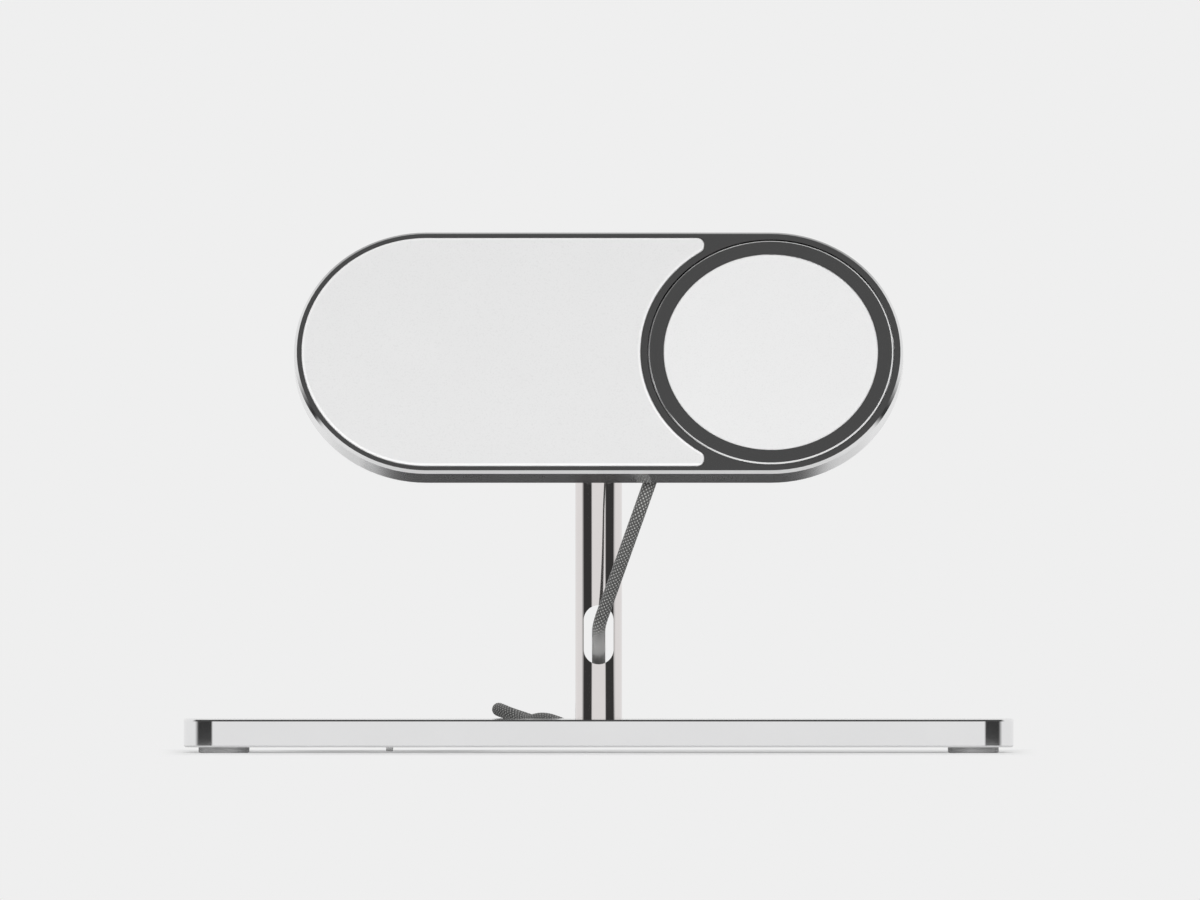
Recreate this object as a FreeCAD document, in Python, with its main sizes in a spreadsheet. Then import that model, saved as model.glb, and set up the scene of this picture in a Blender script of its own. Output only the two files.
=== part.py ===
import FreeCAD, Part
import math
import os

import Sketcher
from FreeCAD import Placement, Rotation, Vector

# A two in one charging stand: a flat steel base, a round post with a cord slot, and a pill-shaped head
# that tilts on a friction hinge. +X is right, +Y is away from the user and +Z is up. The origin is the
# middle of the base, on the table.

# Driving sizes, in millimetres and degrees
SIZES = {
    # Base plate and feet
    "base_width": 189.4,
    "base_depth": 90.0,
    "base_thickness": 6.3,
    "base_corner_radius": 9.2,
    "base_edge_chamfer": 0.4,
    "foot_diameter": 11.6,
    "foot_height": 1.3,
    "foot_recess": 0.8,
    "foot_edge": 0.3,
    "foot_clearance": 0.15,
    # Post and its screw
    "post_diameter": 10.7,
    "post_setback": 45.0,
    "post_seat_depth": 2.0,
    "post_clearance": 0.1,
    "post_shoulder_chamfer": 0.5,
    "slot_width": 6.8,
    "slot_height": 13.5,
    "slot_rise": 12.5,
    "base_screw_diameter": 5.0,
    "base_screw_head": 9.2,
    "base_screw_length": 14.0,
    "base_screw_sink": 0.2,
    "base_screw_socket": 3.0,
    "base_screw_spare": 2.0,
    "screw_clearance": 0.1,
    "thread_clearance": 0.05,
    # Tilt hinge
    "tilt": 24.5,
    "hinge_reach": 13.5,
    "hinge_gap": 0.6,
    "tongue_thickness": 4.3,
    "tongue_inset": 0.15,
    "washer_thickness": 0.4,
    "washer_diameter": 8.0,
    "washer_clearance": 0.1,
    "hinge_side_clearance": 0.02,
    "ear_thickness": 2.6,
    "ear_radius": 5.0,
    "ear_root_fillet": 0.8,
    "flange_width": 22.0,
    "flange_height": 24.0,
    "flange_thickness": 1.8,
    "flange_corner": 4.0,
    "pin_diameter": 3.0,
    "pin_clearance": 0.05,
    "pin_head_diameter": 5.6,
    "pin_head_height": 1.6,
    "pin_socket": 2.0,
    "nut_width": 5.5,
    "nut_height": 1.8,
    "bracket_screw_diameter": 2.5,
    "bracket_screw_head": 4.6,
    "bracket_screw_length": 4.0,
    "bracket_screw_socket": 1.5,
    "bracket_screw_inset": 3.4,
    # Head housing
    "face_height": 91.4,
    "head_width": 139.0,
    "head_height": 60.4,
    "head_depth": 6.0,
    "head_chamfer": 0.6,
    "head_back_chamfer": 0.4,
    "head_wall": 1.8,
    "web_thickness": 1.8,
    "cover_thickness": 1.2,
    "cover_clearance": 0.1,
    "cover_pad_thickness": 1.1,
    "boss_diameter": 5.6,
    "cover_screw_angle": 130.0,
    "cover_screw_offset": 7.5,
    "cover_screw_diameter": 2.0,
    "cover_screw_head": 3.8,
    "cover_screw_length": 3.4,
    "cover_screw_socket": 1.3,
    "cover_screw_spare": 0.3,
    "cover_screw_margin": 0.6,
    # White front panel
    "panel_margin": 1.7,
    "panel_thickness": 1.3,
    "panel_proud": 0.3,
    "panel_edge_round": 0.25,
    "panel_clearance": 0.1,
    "panel_horn": 2.9,
    "panel_corner_radius": 1.65,
    # Round phone charger
    "puck_margin": 2.25,
    "puck_gap": 0.25,
    "puck_web": 1.6,
    "puck_ring_width": 3.45,
    "puck_ring_lip": 1.0,
    "puck_ring_wall": 0.9,
    "puck_ring_chamfer": 0.3,
    "puck_inner_clearance": 0.15,
    "disc_clearance": 0.05,
    "disc_proud": 0.2,
    "disc_edge_round": 0.3,
    "disc_flange": 0.7,
    "magnet_width": 3.4,
    "magnet_thickness": 1.4,
    "magnet_slit": 0.6,
    "puck_coil_inner": 20.0,
    "puck_magnet_gap": 1.0,
    "coil_thickness": 0.9,
    "shield_thickness": 0.5,
    "shield_overhang": 0.5,
    "yoke_thickness": 0.5,
    # Second charger, behind the panel
    "window_margin": 0.3,
    "pad_magnet_clearance": 0.3,
    "pad_magnet_width": 2.0,
    "pad_coil_inner": 18.0,
    "pad_coil_gap": 0.3,
    # Circuit board
    "board_length": 38.0,
    "board_height": 26.0,
    "board_thickness": 0.8,
    "board_corner": 1.5,
    "board_standoff": 0.5,
    "board_standoff_diameter": 4.0,
    "board_standoff_inset": 2.6,
    "part_height": 0.8,
    # Cord, its strain relief, ties and plug
    "cord_diameter": 3.1,
    "gland_puck_gap": 4.8,
    "gland_inset": 7.4,
    "gland_neck": 5.0,
    "gland_clearance": 0.1,
    "gland_collar": 6.8,
    "gland_collar_thickness": 0.8,
    "boot_lean": 18.0,
    "boot_length": 6.8,
    "boot_back_gap": 0.1,
    "boot_top": 2.8,
    "boot_shoulder": 3.8,
    "boot_top_chamfer": 0.8,
    "boot_root": 5.6,
    "boot_tip": 4.2,
    "boot_groove_width": 0.5,
    "boot_groove_depth": 0.4,
    "boot_lead": 7.0,
    "cord_end_gap": 0.03,
    "coil_centre_x": -47.7,
    "coil_centre_y": 90.0,
    "coil_inner": 15.4,
    "coil_outer": 53.3,
    "coil_height": 5.9,
    "tie_thickness": 0.9,
    "tie_width": 1.6,
    "tie_clearance": 0.1,
    "near_tie_angle": -90.0,
    "far_tie_angle": 90.0,
    "plug_x": -85.5,
    "plug_y": 82.0,
    "plug_lead": 12.1,
    "plug_boot_length": 9.0,
    "plug_boot_tip": 4.4,
    "plug_boot_root": 5.0,
    "plug_body_length": 18.0,
    "plug_body_width": 10.4,
    "plug_body_height": 6.0,
    "plug_body_round": 2.2,
    "plug_shell_length": 6.6,
    "plug_shell_width": 8.3,
    "plug_shell_height": 2.5,
    "plug_shell_wall": 0.35,
}

# Route of the cord after the strain relief on the head, through the post's slot to the coil behind the base
CORD_ROUTE = [
    (1.93, -12.05, 34.4),
    (0.0, -9.2, 29.0),
    (0.0, -3.4, 26.4),
    (0.0, 8.5, 21.0),
    (0.0, 20.5, 14.2),
    (-0.4, 31.0, 10.2),
    (-0.9, 44.5, 9.9),
    (-2.4, 53.5, 6.9),
    (-5.4, 61.5, 4.6),
    (-8.8, 68.6, 6.4),
    (-12.8, 74.4, 7.6),
    (-16.4, 79.8, 6.5),
    (-20.6, 84.6, 8.7),
    (-23.6, 91.0, 9.8),
    (-20.2, 98.0, 8.4),
    (-13.8, 103.8, 6.3),
    (-13.4, 112.0, 5.3),
    (-19.0, 117.8, 5.25),
    (-29.0, 117.2, 5.25),
    (-42.5, 114.4, 5.25),
]
# Route of the cord's last stretch, from the coil to the run that ends in the plug
TAIL_ROUTE = [
    (-62.07, 110.52, 2.45),
]
# Share of the cord's long straight run at which its upper piece ends
CORD_SPLIT = 0.4
# Share of a run that a bend of the cord takes up
BEND_SHARE = 0.45

MAGNET_COUNT = 18
PAD_MAGNET_COUNT = 12
BOOT_GROOVES = 2

doc = FreeCAD.newDocument("charging_stand")
sheet = doc.addObject("Spreadsheet::Sheet", "Sizes")
for row, (alias, number) in enumerate(SIZES.items(), start=1):
    sheet.set(f"A{row}", alias)
    sheet.set(f"B{row}", str(number))
    sheet.setAlias(f"B{row}", alias)
doc.recompute()


class Size:
    """A number together with the sheet expression that drives it."""

    def __init__(self, text, value):
        self.text = text
        self.value = value

    def __add__(self, other):
        other = size_of(other)
        return Size(f"({self.text} + {other.text})", self.value + other.value)

    def __radd__(self, other):
        return size_of(other) + self

    def __sub__(self, other):
        other = size_of(other)
        return Size(f"({self.text} - {other.text})", self.value - other.value)

    def __rsub__(self, other):
        return size_of(other) - self

    def __mul__(self, other):
        other = size_of(other)
        return Size(f"({self.text} * {other.text})", self.value * other.value)

    def __rmul__(self, other):
        return size_of(other) * self

    def __truediv__(self, other):
        other = size_of(other)
        return Size(f"({self.text} / {other.text})", self.value / other.value)

    def __neg__(self):
        return Size(f"(0 - {self.text})", -self.value)


def size_of(number):
    """A size as it is, or a plain number as a size."""
    if isinstance(number, Size):
        return number
    return Size(f"{number:.9g}" if number >= 0 else f"(0 - {-number:.9g})", float(number))


def named(alias):
    """The size held by a cell of the sheet."""
    return Size(f"Sizes.{alias}", float(sheet.get(alias)))


def sine(angle):
    return Size(f"sin({angle.text})", math.sin(math.radians(angle.value)))


def cosine(angle):
    return Size(f"cos({angle.text})", math.cos(math.radians(angle.value)))


def square_root(size):
    return Size(f"sqrt({size.text})", math.sqrt(size.value))


# Places worked out from the driving sizes
base_top = named("foot_height") + named("base_thickness")
post_y = named("base_depth") / 2 - named("post_setback")
post_bottom = base_top - named("post_seat_depth")
slot_bottom = base_top + named("slot_rise")
hinge_depth = named("head_depth") + named("hinge_reach")
hinge_z = named("face_height") - hinge_depth * sine(named("tilt"))
face_y = post_y - hinge_depth * cosine(named("tilt"))
shoulder_z = hinge_z - named("ear_radius") - named("hinge_gap")
hinge_inner = named("tongue_thickness") / 2 + named("hinge_side_clearance")
ear_inner = hinge_inner + named("washer_thickness")
ear_outer = ear_inner + named("ear_thickness")

head_radius = named("head_height") / 2
head_span = named("head_width") / 2 - head_radius
cover_inside = named("cover_thickness") - named("head_depth")
head_back = -named("head_depth")
flange_back = head_back - named("flange_thickness")
cavity_radius = head_radius - named("head_wall")
cover_radius = cavity_radius - named("cover_clearance")
cover_sink = named("cover_screw_head") / 2 + named("screw_clearance")
boss_reach = cover_radius - cover_sink - named("cover_screw_margin")
puck_radius = head_radius - named("puck_margin")
puck_seat = cover_inside + named("cover_pad_thickness")
bore_radius = puck_radius + named("puck_gap")
panel_back = named("panel_proud") - named("panel_thickness")
panel_radius = head_radius - named("panel_margin")
cove_radius = bore_radius + named("puck_web")
horn_level = panel_radius - named("panel_horn")
horn_end = head_span - square_root(cove_radius * cove_radius - horn_level * horn_level)
ring_inside = puck_radius - named("puck_ring_wall") - named("puck_inner_clearance")
disc_radius = puck_radius - named("puck_ring_width") - named("disc_clearance")
disc_back = -(named("puck_ring_lip") + named("disc_flange"))
magnet_back = disc_back - named("magnet_thickness")
puck_coil_back = disc_back - named("coil_thickness")
puck_shield_radius = ring_inside - named("magnet_width") - named("puck_magnet_gap")
puck_coil_radius = puck_shield_radius - named("shield_overhang")
window_radius = boss_reach - named("boss_diameter") / 2 - named("window_margin")
pad_magnet_radius = window_radius - named("pad_magnet_clearance")
pad_coil_back = panel_back - named("coil_thickness")
pad_shield_radius = pad_magnet_radius - named("pad_magnet_width") - named("pad_coil_gap")
pad_coil_radius = pad_shield_radius - named("shield_overhang")
board_back = cover_inside + named("board_standoff")
board_front = board_back + named("board_thickness")
gland_drop = cavity_radius - named("gland_inset")
gland_reach = puck_radius + named("gland_puck_gap")
gland_across = head_span - square_root(gland_reach * gland_reach - gland_drop * gland_drop)
gland_outside = head_back - named("gland_collar_thickness")
boot_axis = head_back - named("boot_root") / 2 - named("boot_back_gap")
coil_bottom = named("tie_thickness")
plug_z = named("plug_body_height") / 2
plug_body_y = named("plug_y") - named("plug_boot_length")
plug_shell_y = plug_body_y - named("plug_body_length")


def new_body(label):
    body = doc.addObject("PartDesign::Body", label)
    body.Label = label
    return body


def place(item, across=0, back=0, up=0):
    """Move a sub-part to its place in the stand."""
    for axis, size in zip("xyz", (across, back, up)):
        item.setExpression(f"Placement.Base.{axis}", size_of(size).text)


def place_on_head(item, across=0, rise=0):
    """Lean a sub-part back with the head, whose face is at local height zero."""
    rise = size_of(rise)
    item.Placement = Placement(Vector(), Rotation(Vector(1, 0, 0), 90 - named("tilt").value))
    item.setExpression("Placement.Rotation.Angle", (90 - named("tilt")).text)
    tilt = named("tilt")
    place(item, across, face_y + rise * sine(tilt), named("face_height") + rise * cosine(tilt))


def new_sketch(body, name, plane="XY_Plane", offset=0):
    """A sketch on one of the body's own planes, moved along that plane's normal."""
    sketch = body.newObject("Sketcher::SketchObject", name)
    origin_plane = next(item for item in body.Origin.OriginFeatures if item.Role == plane)
    sketch.AttachmentSupport = [(origin_plane, "")]
    sketch.MapMode = "FlatFace"
    sketch.setExpression("AttachmentOffset.Base.z", size_of(offset).text)
    return sketch


def dimension(sketch, kind, *references, size):
    """Add a dimension to a sketch and bind it to its size."""
    index = sketch.addConstraint(Sketcher.Constraint(kind, *references, size.value))
    name = f"{kind}{index}"
    sketch.renameConstraint(index, name)
    sketch.setExpression(f"Constraints.{name}", size.text)


def pin(sketch, geometry, position, across, up):
    """Hold a point of the sketch at a distance from the sketch's origin."""
    dimension(sketch, "DistanceX", -1, 1, geometry, position, size=size_of(across))
    dimension(sketch, "DistanceY", -1, 1, geometry, position, size=size_of(up))


def flat_point(across, up):
    return Vector(size_of(across).value, size_of(up).value, 0)


def add_arc(sketch, centre, radius, start, end):
    """An arc about a centre, anticlockwise between two angles in radians."""
    circle = Part.Circle(centre, Vector(0, 0, 1), radius)
    return sketch.addGeometry(Part.ArcOfCircle(circle, start, end), False)


def circle(sketch, across, up, radius):
    curve = Part.Circle(flat_point(across, up), Vector(0, 0, 1), radius.value)
    index = sketch.addGeometry(curve, False)
    pin(sketch, index, 3, across, up)
    dimension(sketch, "Radius", index, size=radius)


def polygon(sketch, points):
    """A closed outline of straight lines with every corner held in place."""
    corners = [flat_point(*point) for point in points]
    lines = []
    for start, end in zip(corners, corners[1:] + corners[:1]):
        lines.append(sketch.addGeometry(Part.LineSegment(start, end), False))
    for line, following, point in zip(lines, lines[1:] + lines[:1], points):
        sketch.addConstraint(Sketcher.Constraint("Coincident", line, 2, following, 1))
        pin(sketch, line, 1, *point)


def rectangle(sketch, left, right, bottom, top):
    polygon(sketch, [(left, bottom), (right, bottom), (right, top), (left, top)])


def hexagon(sketch, width):
    """A hexagon about the origin, measured across its flats."""
    points = []
    for corner in range(6):
        angle = math.radians(60 * corner)
        share = 1 / math.sqrt(3)
        points.append((width * (share * math.cos(angle)), width * (share * math.sin(angle))))
    polygon(sketch, points)


def rounded_outline(sketch, centres, radius):
    """A closed outline round equal circles, given anticlockwise, with tangent lines between them."""
    middles = [flat_point(*centre) for centre in centres]
    count = len(middles)
    normals = []
    for index, middle in enumerate(middles):
        along = middles[(index + 1) % count] - middle
        normals.append(math.atan2(-along.x, along.y))
    arcs = []
    lines = []
    for index, middle in enumerate(middles):
        before = normals[index - 1]
        after = normals[index]
        while after < before:
            after += 2 * math.pi
        arcs.append(add_arc(sketch, middle, radius.value, before, after))
        step = Vector(math.cos(after), math.sin(after), 0) * radius.value
        line = Part.LineSegment(middle + step, middles[(index + 1) % count] + step)
        lines.append(sketch.addGeometry(line, False))
    for index, centre in enumerate(centres):
        following = arcs[(index + 1) % count]
        sketch.addConstraint(Sketcher.Constraint("Tangent", arcs[index], 2, lines[index], 1))
        sketch.addConstraint(Sketcher.Constraint("Tangent", lines[index], 2, following, 1))
        pin(sketch, arcs[index], 3, *centre)
    dimension(sketch, "Radius", arcs[0], size=radius)
    for arc in arcs[1:]:
        sketch.addConstraint(Sketcher.Constraint("Equal", arcs[0], arc))


def pill(sketch, half_span, radius):
    rounded_outline(sketch, [(-half_span, 0), (half_span, 0)], radius)


def rounded_rectangle(sketch, left, right, bottom, top, radius):
    corners = [
        (left + radius, bottom + radius),
        (right - radius, bottom + radius),
        (right - radius, top - radius),
        (left + radius, top - radius),
    ]
    rounded_outline(sketch, corners, radius)


def solid_step(body, kind, sketch, settings, bound):
    """Add a feature made from a sketch, and stop if it leaves the body's volume as it was."""
    before = body.Shape.Volume if body.Tip else 0.0
    feature = body.newObject(f"PartDesign::{kind}", f"{body.Name}_{kind}")
    feature.Profile = sketch
    for name, setting in settings.items():
        setattr(feature, name, setting)
    for name, size in bound.items():
        feature.setExpression(name, size_of(size).text)
    doc.recompute()
    if abs(body.Shape.Volume - before) < 1e-6:
        raise RuntimeError(f"{feature.Name} of {body.Label} changes nothing")
    return feature


def pad(body, sketch, length, flipped=False):
    return solid_step(body, "Pad", sketch, {"Reversed": flipped}, {"Length": length})


def pad_both_ways(body, sketch, length):
    return solid_step(body, "Pad", sketch, {"SideType": "Symmetric"}, {"Length": length})


def pocket(body, sketch, depth, flipped=False):
    return solid_step(body, "Pocket", sketch, {"Reversed": flipped}, {"Length": depth})


def pocket_both_ways(body, sketch, depth):
    return solid_step(body, "Pocket", sketch, {"SideType": "Symmetric"}, {"Length": depth})


def revolve(body, sketch):
    return solid_step(body, "Revolution", sketch, {"ReferenceAxis": (sketch, ["V_Axis"])}, {"Angle": 360})


def groove(body, sketch):
    return solid_step(body, "Groove", sketch, {"ReferenceAxis": (sketch, ["V_Axis"])}, {"Angle": 360})


def edges_at(feature, level, keep=lambda edge: True):
    """Names of the edges that lie in one level of the body's own frame and pass a test."""
    names = []
    for index, edge in enumerate(feature.Shape.Edges, start=1):
        box = edge.BoundBox
        if abs(box.ZMin - level.value) < 1e-5 and abs(box.ZMax - level.value) < 1e-5 and keep(edge):
            names.append(f"Edge{index}")
    return names


def is_circle_of(radius):
    """A test for round edges of one radius."""

    def test(edge):
        return isinstance(edge.Curve, Part.Circle) and abs(edge.Curve.Radius - radius.value) < 1e-5

    return test


def break_edges(body, kind, names, size):
    """Chamfer or fillet named edges of the body's last feature, and stop if nothing changes."""
    base = body.Tip
    before = body.Shape.Volume
    feature = body.newObject(f"PartDesign::{kind}", f"{body.Name}_{kind}")
    feature.Base = (base, names)
    feature.setExpression("Size" if kind == "Chamfer" else "Radius", size_of(size).text)
    doc.recompute()
    if abs(body.Shape.Volume - before) < 1e-6:
        raise RuntimeError(f"{feature.Name} of {body.Label} changes nothing")
    return feature


def turned_body(label, points):
    """A body turned about its own Z axis from a section of radius and height."""
    body = new_body(label)
    section = new_sketch(body, "section", "XZ_Plane")
    polygon(section, points)
    revolve(body, section)
    return body


def ring_body(label, inner, outer, bottom, top):
    return turned_body(label, [(inner, bottom), (outer, bottom), (outer, top), (inner, top)])


def disc_body(label, radius, bottom, top):
    return turned_body(label, [(0, bottom), (radius, bottom), (radius, top), (0, top)])


def countersunk_screw(label, diameter, head, length, socket):
    """A flat-headed screw along +Z, with its head's face at height zero."""
    radius = diameter / 2
    head_rim = head / 2
    cone = head_rim - radius
    body = turned_body(label, [(0, 0), (head_rim, 0), (radius, cone), (radius, length), (0, length)])
    drive = new_sketch(body, "drive")
    hexagon(drive, socket)
    pocket(body, drive, socket / 2, flipped=True)
    return body


def group(label, items):
    """Like pieces that share one node."""
    compound = doc.addObject("Part::Compound", label)
    compound.Label = label
    compound.Links = items
    return compound


def corner_places(across, up):
    return [(side_x * across, side_y * up) for side_x in (-1, 1) for side_y in (-1, 1)]


def cover_screw_places():
    angle = named("cover_screw_angle")
    places = []
    for side in (-1, 1):
        places.append((boss_reach * cosine(angle) - head_span, side * boss_reach * sine(angle)))
        places.append((named("cover_screw_offset"), side * boss_reach))
    return places


def bracket_screw_places():
    inset = named("bracket_screw_inset")
    return corner_places(named("flange_width") / 2 - inset, named("flange_height") / 2 - inset)


def board_standoff_places():
    inset = named("board_standoff_inset")
    places = corner_places(named("board_length") / 2 - inset, named("board_height") / 2 - inset)
    return [(across - head_span, up) for across, up in places]


def base_plate():
    body = new_body("base_plate")
    plan = new_sketch(body, "plan", offset=named("foot_height"))
    half_width = named("base_width") / 2
    half_depth = named("base_depth") / 2
    rounded_rectangle(plan, -half_width, half_width, -half_depth, half_depth, named("base_corner_radius"))
    slab = pad(body, plan, named("base_thickness"))
    rims = edges_at(slab, base_top) + edges_at(slab, named("foot_height"))
    break_edges(body, "Chamfer", rims, named("base_edge_chamfer"))
    seat = new_sketch(body, "post_seat", offset=base_top)
    circle(seat, 0, post_y, named("post_diameter") / 2 + named("post_clearance"))
    pocket(body, seat, named("post_seat_depth"))
    hole = named("base_screw_diameter") / 2 + named("screw_clearance")
    sink = named("base_screw_head") / 2 + named("base_screw_sink") + named("screw_clearance")
    underside = named("foot_height")
    screw_hole = new_sketch(body, "screw_hole", "XZ_Plane", offset=-post_y)
    polygon(screw_hole, [
        (0, underside),
        (sink, underside),
        (hole, underside + sink - hole),
        (hole, post_bottom),
        (0, post_bottom),
    ])
    groove(body, screw_hole)
    recesses = new_sketch(body, "foot_recesses", offset=underside)
    for across, back in foot_places().values():
        circle(recesses, across, back, named("foot_diameter") / 2 + named("foot_clearance"))
    pocket(body, recesses, named("foot_recess"), flipped=True)
    return [body]


def foot_places():
    """The feet stand under the base's corners, about the same centres as the corner arcs."""
    across = named("base_width") / 2 - named("base_corner_radius")
    back = named("base_depth") / 2 - named("base_corner_radius")
    return {
        "foot_front_left": (-across, -back),
        "foot_front_right": (across, -back),
        "foot_rear_left": (-across, back),
        "foot_rear_right": (across, back),
    }


def feet():
    made = []
    radius = named("foot_diameter") / 2
    top = named("foot_height") + named("foot_recess")
    edge = named("foot_edge")
    for label, (across, back) in foot_places().items():
        body = turned_body(label, [(0, 0), (radius - edge, 0), (radius, edge), (radius, top), (0, top)])
        place(body, across, back)
        made.append(body)
    return made


def post():
    """The bar has a tongue for the hinge at its top, a slot for the cord and a thread at its foot."""
    body = new_body("post")
    radius = named("post_diameter") / 2
    bar = new_sketch(body, "bar", offset=post_bottom)
    circle(bar, 0, 0, radius)
    shaft = pad(body, bar, shoulder_z - post_bottom)
    break_edges(body, "Chamfer", edges_at(shaft, shoulder_z), named("post_shoulder_chamfer"))
    half = named("tongue_thickness") / 2
    tongue_radius = square_root(radius * radius - half * half) - named("tongue_inset")
    tongue = new_sketch(body, "tongue", "YZ_Plane")
    rectangle(tongue, -tongue_radius, tongue_radius, shoulder_z - named("post_shoulder_chamfer"), hinge_z)
    pad_both_ways(body, tongue, named("tongue_thickness"))
    crown = new_sketch(body, "crown", "YZ_Plane")
    circle(crown, 0, hinge_z, tongue_radius)
    pad_both_ways(body, crown, named("tongue_thickness"))
    pin_hole = new_sketch(body, "pin_hole", "YZ_Plane")
    circle(pin_hole, 0, hinge_z, named("pin_diameter") / 2 + named("pin_clearance"))
    pocket_both_ways(body, pin_hole, named("post_diameter"))
    slot = new_sketch(body, "cord_slot", "XZ_Plane")
    slot_radius = named("slot_width") / 2
    slot_top = slot_bottom + named("slot_height")
    rounded_outline(slot, [(0, slot_bottom + slot_radius), (0, slot_top - slot_radius)], slot_radius)
    pocket_both_ways(body, slot, 2 * named("post_diameter"))
    thread = new_sketch(body, "thread", offset=post_bottom)
    circle(thread, 0, 0, named("base_screw_diameter") / 2 + named("thread_clearance"))
    screw_top = named("foot_height") + named("base_screw_sink") + named("base_screw_length")
    pocket(body, thread, screw_top + named("base_screw_spare") - post_bottom, flipped=True)
    place(body, 0, post_y)
    return [body]


def base_screw():
    body = countersunk_screw(
        "base_screw",
        named("base_screw_diameter"),
        named("base_screw_head"),
        named("base_screw_length"),
        named("base_screw_socket"),
    )
    place(body, 0, post_y, named("foot_height") + named("base_screw_sink"))
    return [body]


def head_frame():
    """The milled housing: a pill with a recess for the panel, a bore for the puck and a cavity behind."""
    body = new_body("head_frame")
    outline = new_sketch(body, "outline", offset=head_back)
    pill(outline, head_span, head_radius)
    blank = pad(body, outline, named("head_depth"))
    break_edges(body, "Chamfer", edges_at(blank, size_of(0)), named("head_chamfer"))
    break_edges(body, "Chamfer", edges_at(body.Tip, head_back), named("head_back_chamfer"))
    cavity = new_sketch(body, "cavity", offset=head_back)
    pill(cavity, head_span, cavity_radius)
    pocket(body, cavity, named("head_depth") - named("web_thickness"), flipped=True)
    recess = new_sketch(body, "panel_recess")
    panel_outline(recess, named("panel_clearance"))
    pocket(body, recess, -panel_back)
    bore = new_sketch(body, "puck_bore")
    circle(bore, head_span, 0, bore_radius)
    pocket(body, bore, named("web_thickness"))
    window = new_sketch(body, "coil_window")
    circle(window, -head_span, 0, window_radius)
    pocket(body, window, named("web_thickness"))
    bosses = new_sketch(body, "bosses", offset=cover_inside)
    threads = new_sketch(body, "threads", offset=cover_inside)
    for across, up in cover_screw_places():
        circle(bosses, across, up, named("boss_diameter") / 2)
        circle(threads, across, up, named("cover_screw_diameter") / 2 + named("thread_clearance"))
    pad(body, bosses, -named("web_thickness") - cover_inside)
    reach = named("cover_screw_length") - named("cover_thickness") + named("cover_screw_spare")
    pocket(body, threads, reach, flipped=True)
    place_on_head(body)
    return [body]


def panel_outline(sketch, grow):
    """The panel's outline: a pill whose right end is cut by a cove round the puck, with blunt horns."""
    grow = size_of(grow)
    radius = panel_radius + grow
    cove = cove_radius - grow
    corner = named("panel_corner_radius") + grow
    end = horn_end + grow
    span = head_span.value
    inside = end.value - corner.value
    reach = span - inside
    level = math.sqrt((cove.value + corner.value) ** 2 - reach ** 2)
    lean = math.atan2(level, reach)
    quarter = math.pi / 2

    def line(start_x, start_y, end_x, end_y):
        return sketch.addGeometry(Part.LineSegment(Vector(start_x, start_y), Vector(end_x, end_y)), False)

    edge = radius.value
    rim = edge - corner.value
    left_arc = add_arc(sketch, Vector(-span, 0), edge, quarter, 3 * quarter)
    bottom = line(-span, -edge, inside, -edge)
    low_corner = add_arc(sketch, Vector(inside, -rim), corner.value, -quarter, 0)
    low_end = line(end.value, -rim, end.value, -level)
    low_tip = add_arc(sketch, Vector(inside, -level), corner.value, 0, lean)
    cove_arc = add_arc(sketch, Vector(span, 0), cove.value, math.pi - lean, math.pi + lean)
    high_tip = add_arc(sketch, Vector(inside, level), corner.value, -lean, 0)
    high_end = line(end.value, level, end.value, rim)
    high_corner = add_arc(sketch, Vector(inside, rim), corner.value, 0, quarter)
    top = line(inside, edge, -span, edge)
    loop = [left_arc, bottom, low_corner, low_end, low_tip, cove_arc, high_tip, high_end, high_corner, top]
    for piece, following in zip(loop, loop[1:] + loop[:1]):
        leaving = 1 if piece == cove_arc else 2
        entering = 2 if following == cove_arc else 1
        sketch.addConstraint(Sketcher.Constraint("Tangent", piece, leaving, following, entering))
    for straight in (bottom, top):
        sketch.addConstraint(Sketcher.Constraint("Horizontal", straight))
    for blunt in (low_end, high_end):
        sketch.addConstraint(Sketcher.Constraint("Vertical", blunt))
        dimension(sketch, "DistanceX", -1, 1, blunt, 1, size=end)
    pin(sketch, left_arc, 3, -head_span, 0)
    pin(sketch, cove_arc, 3, head_span, 0)
    dimension(sketch, "Radius", left_arc, size=radius)
    dimension(sketch, "Radius", cove_arc, size=cove)
    dimension(sketch, "Radius", low_corner, size=corner)
    for rounded in (low_tip, high_tip, high_corner):
        sketch.addConstraint(Sketcher.Constraint("Equal", low_corner, rounded))


def front_panel():
    body = new_body("front_panel")
    outline = new_sketch(body, "outline", offset=panel_back)
    panel_outline(outline, 0)
    plate = pad(body, outline, named("panel_thickness"))
    break_edges(body, "Fillet", edges_at(plate, named("panel_proud")), named("panel_edge_round"))
    place_on_head(body)
    return [body]


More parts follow.
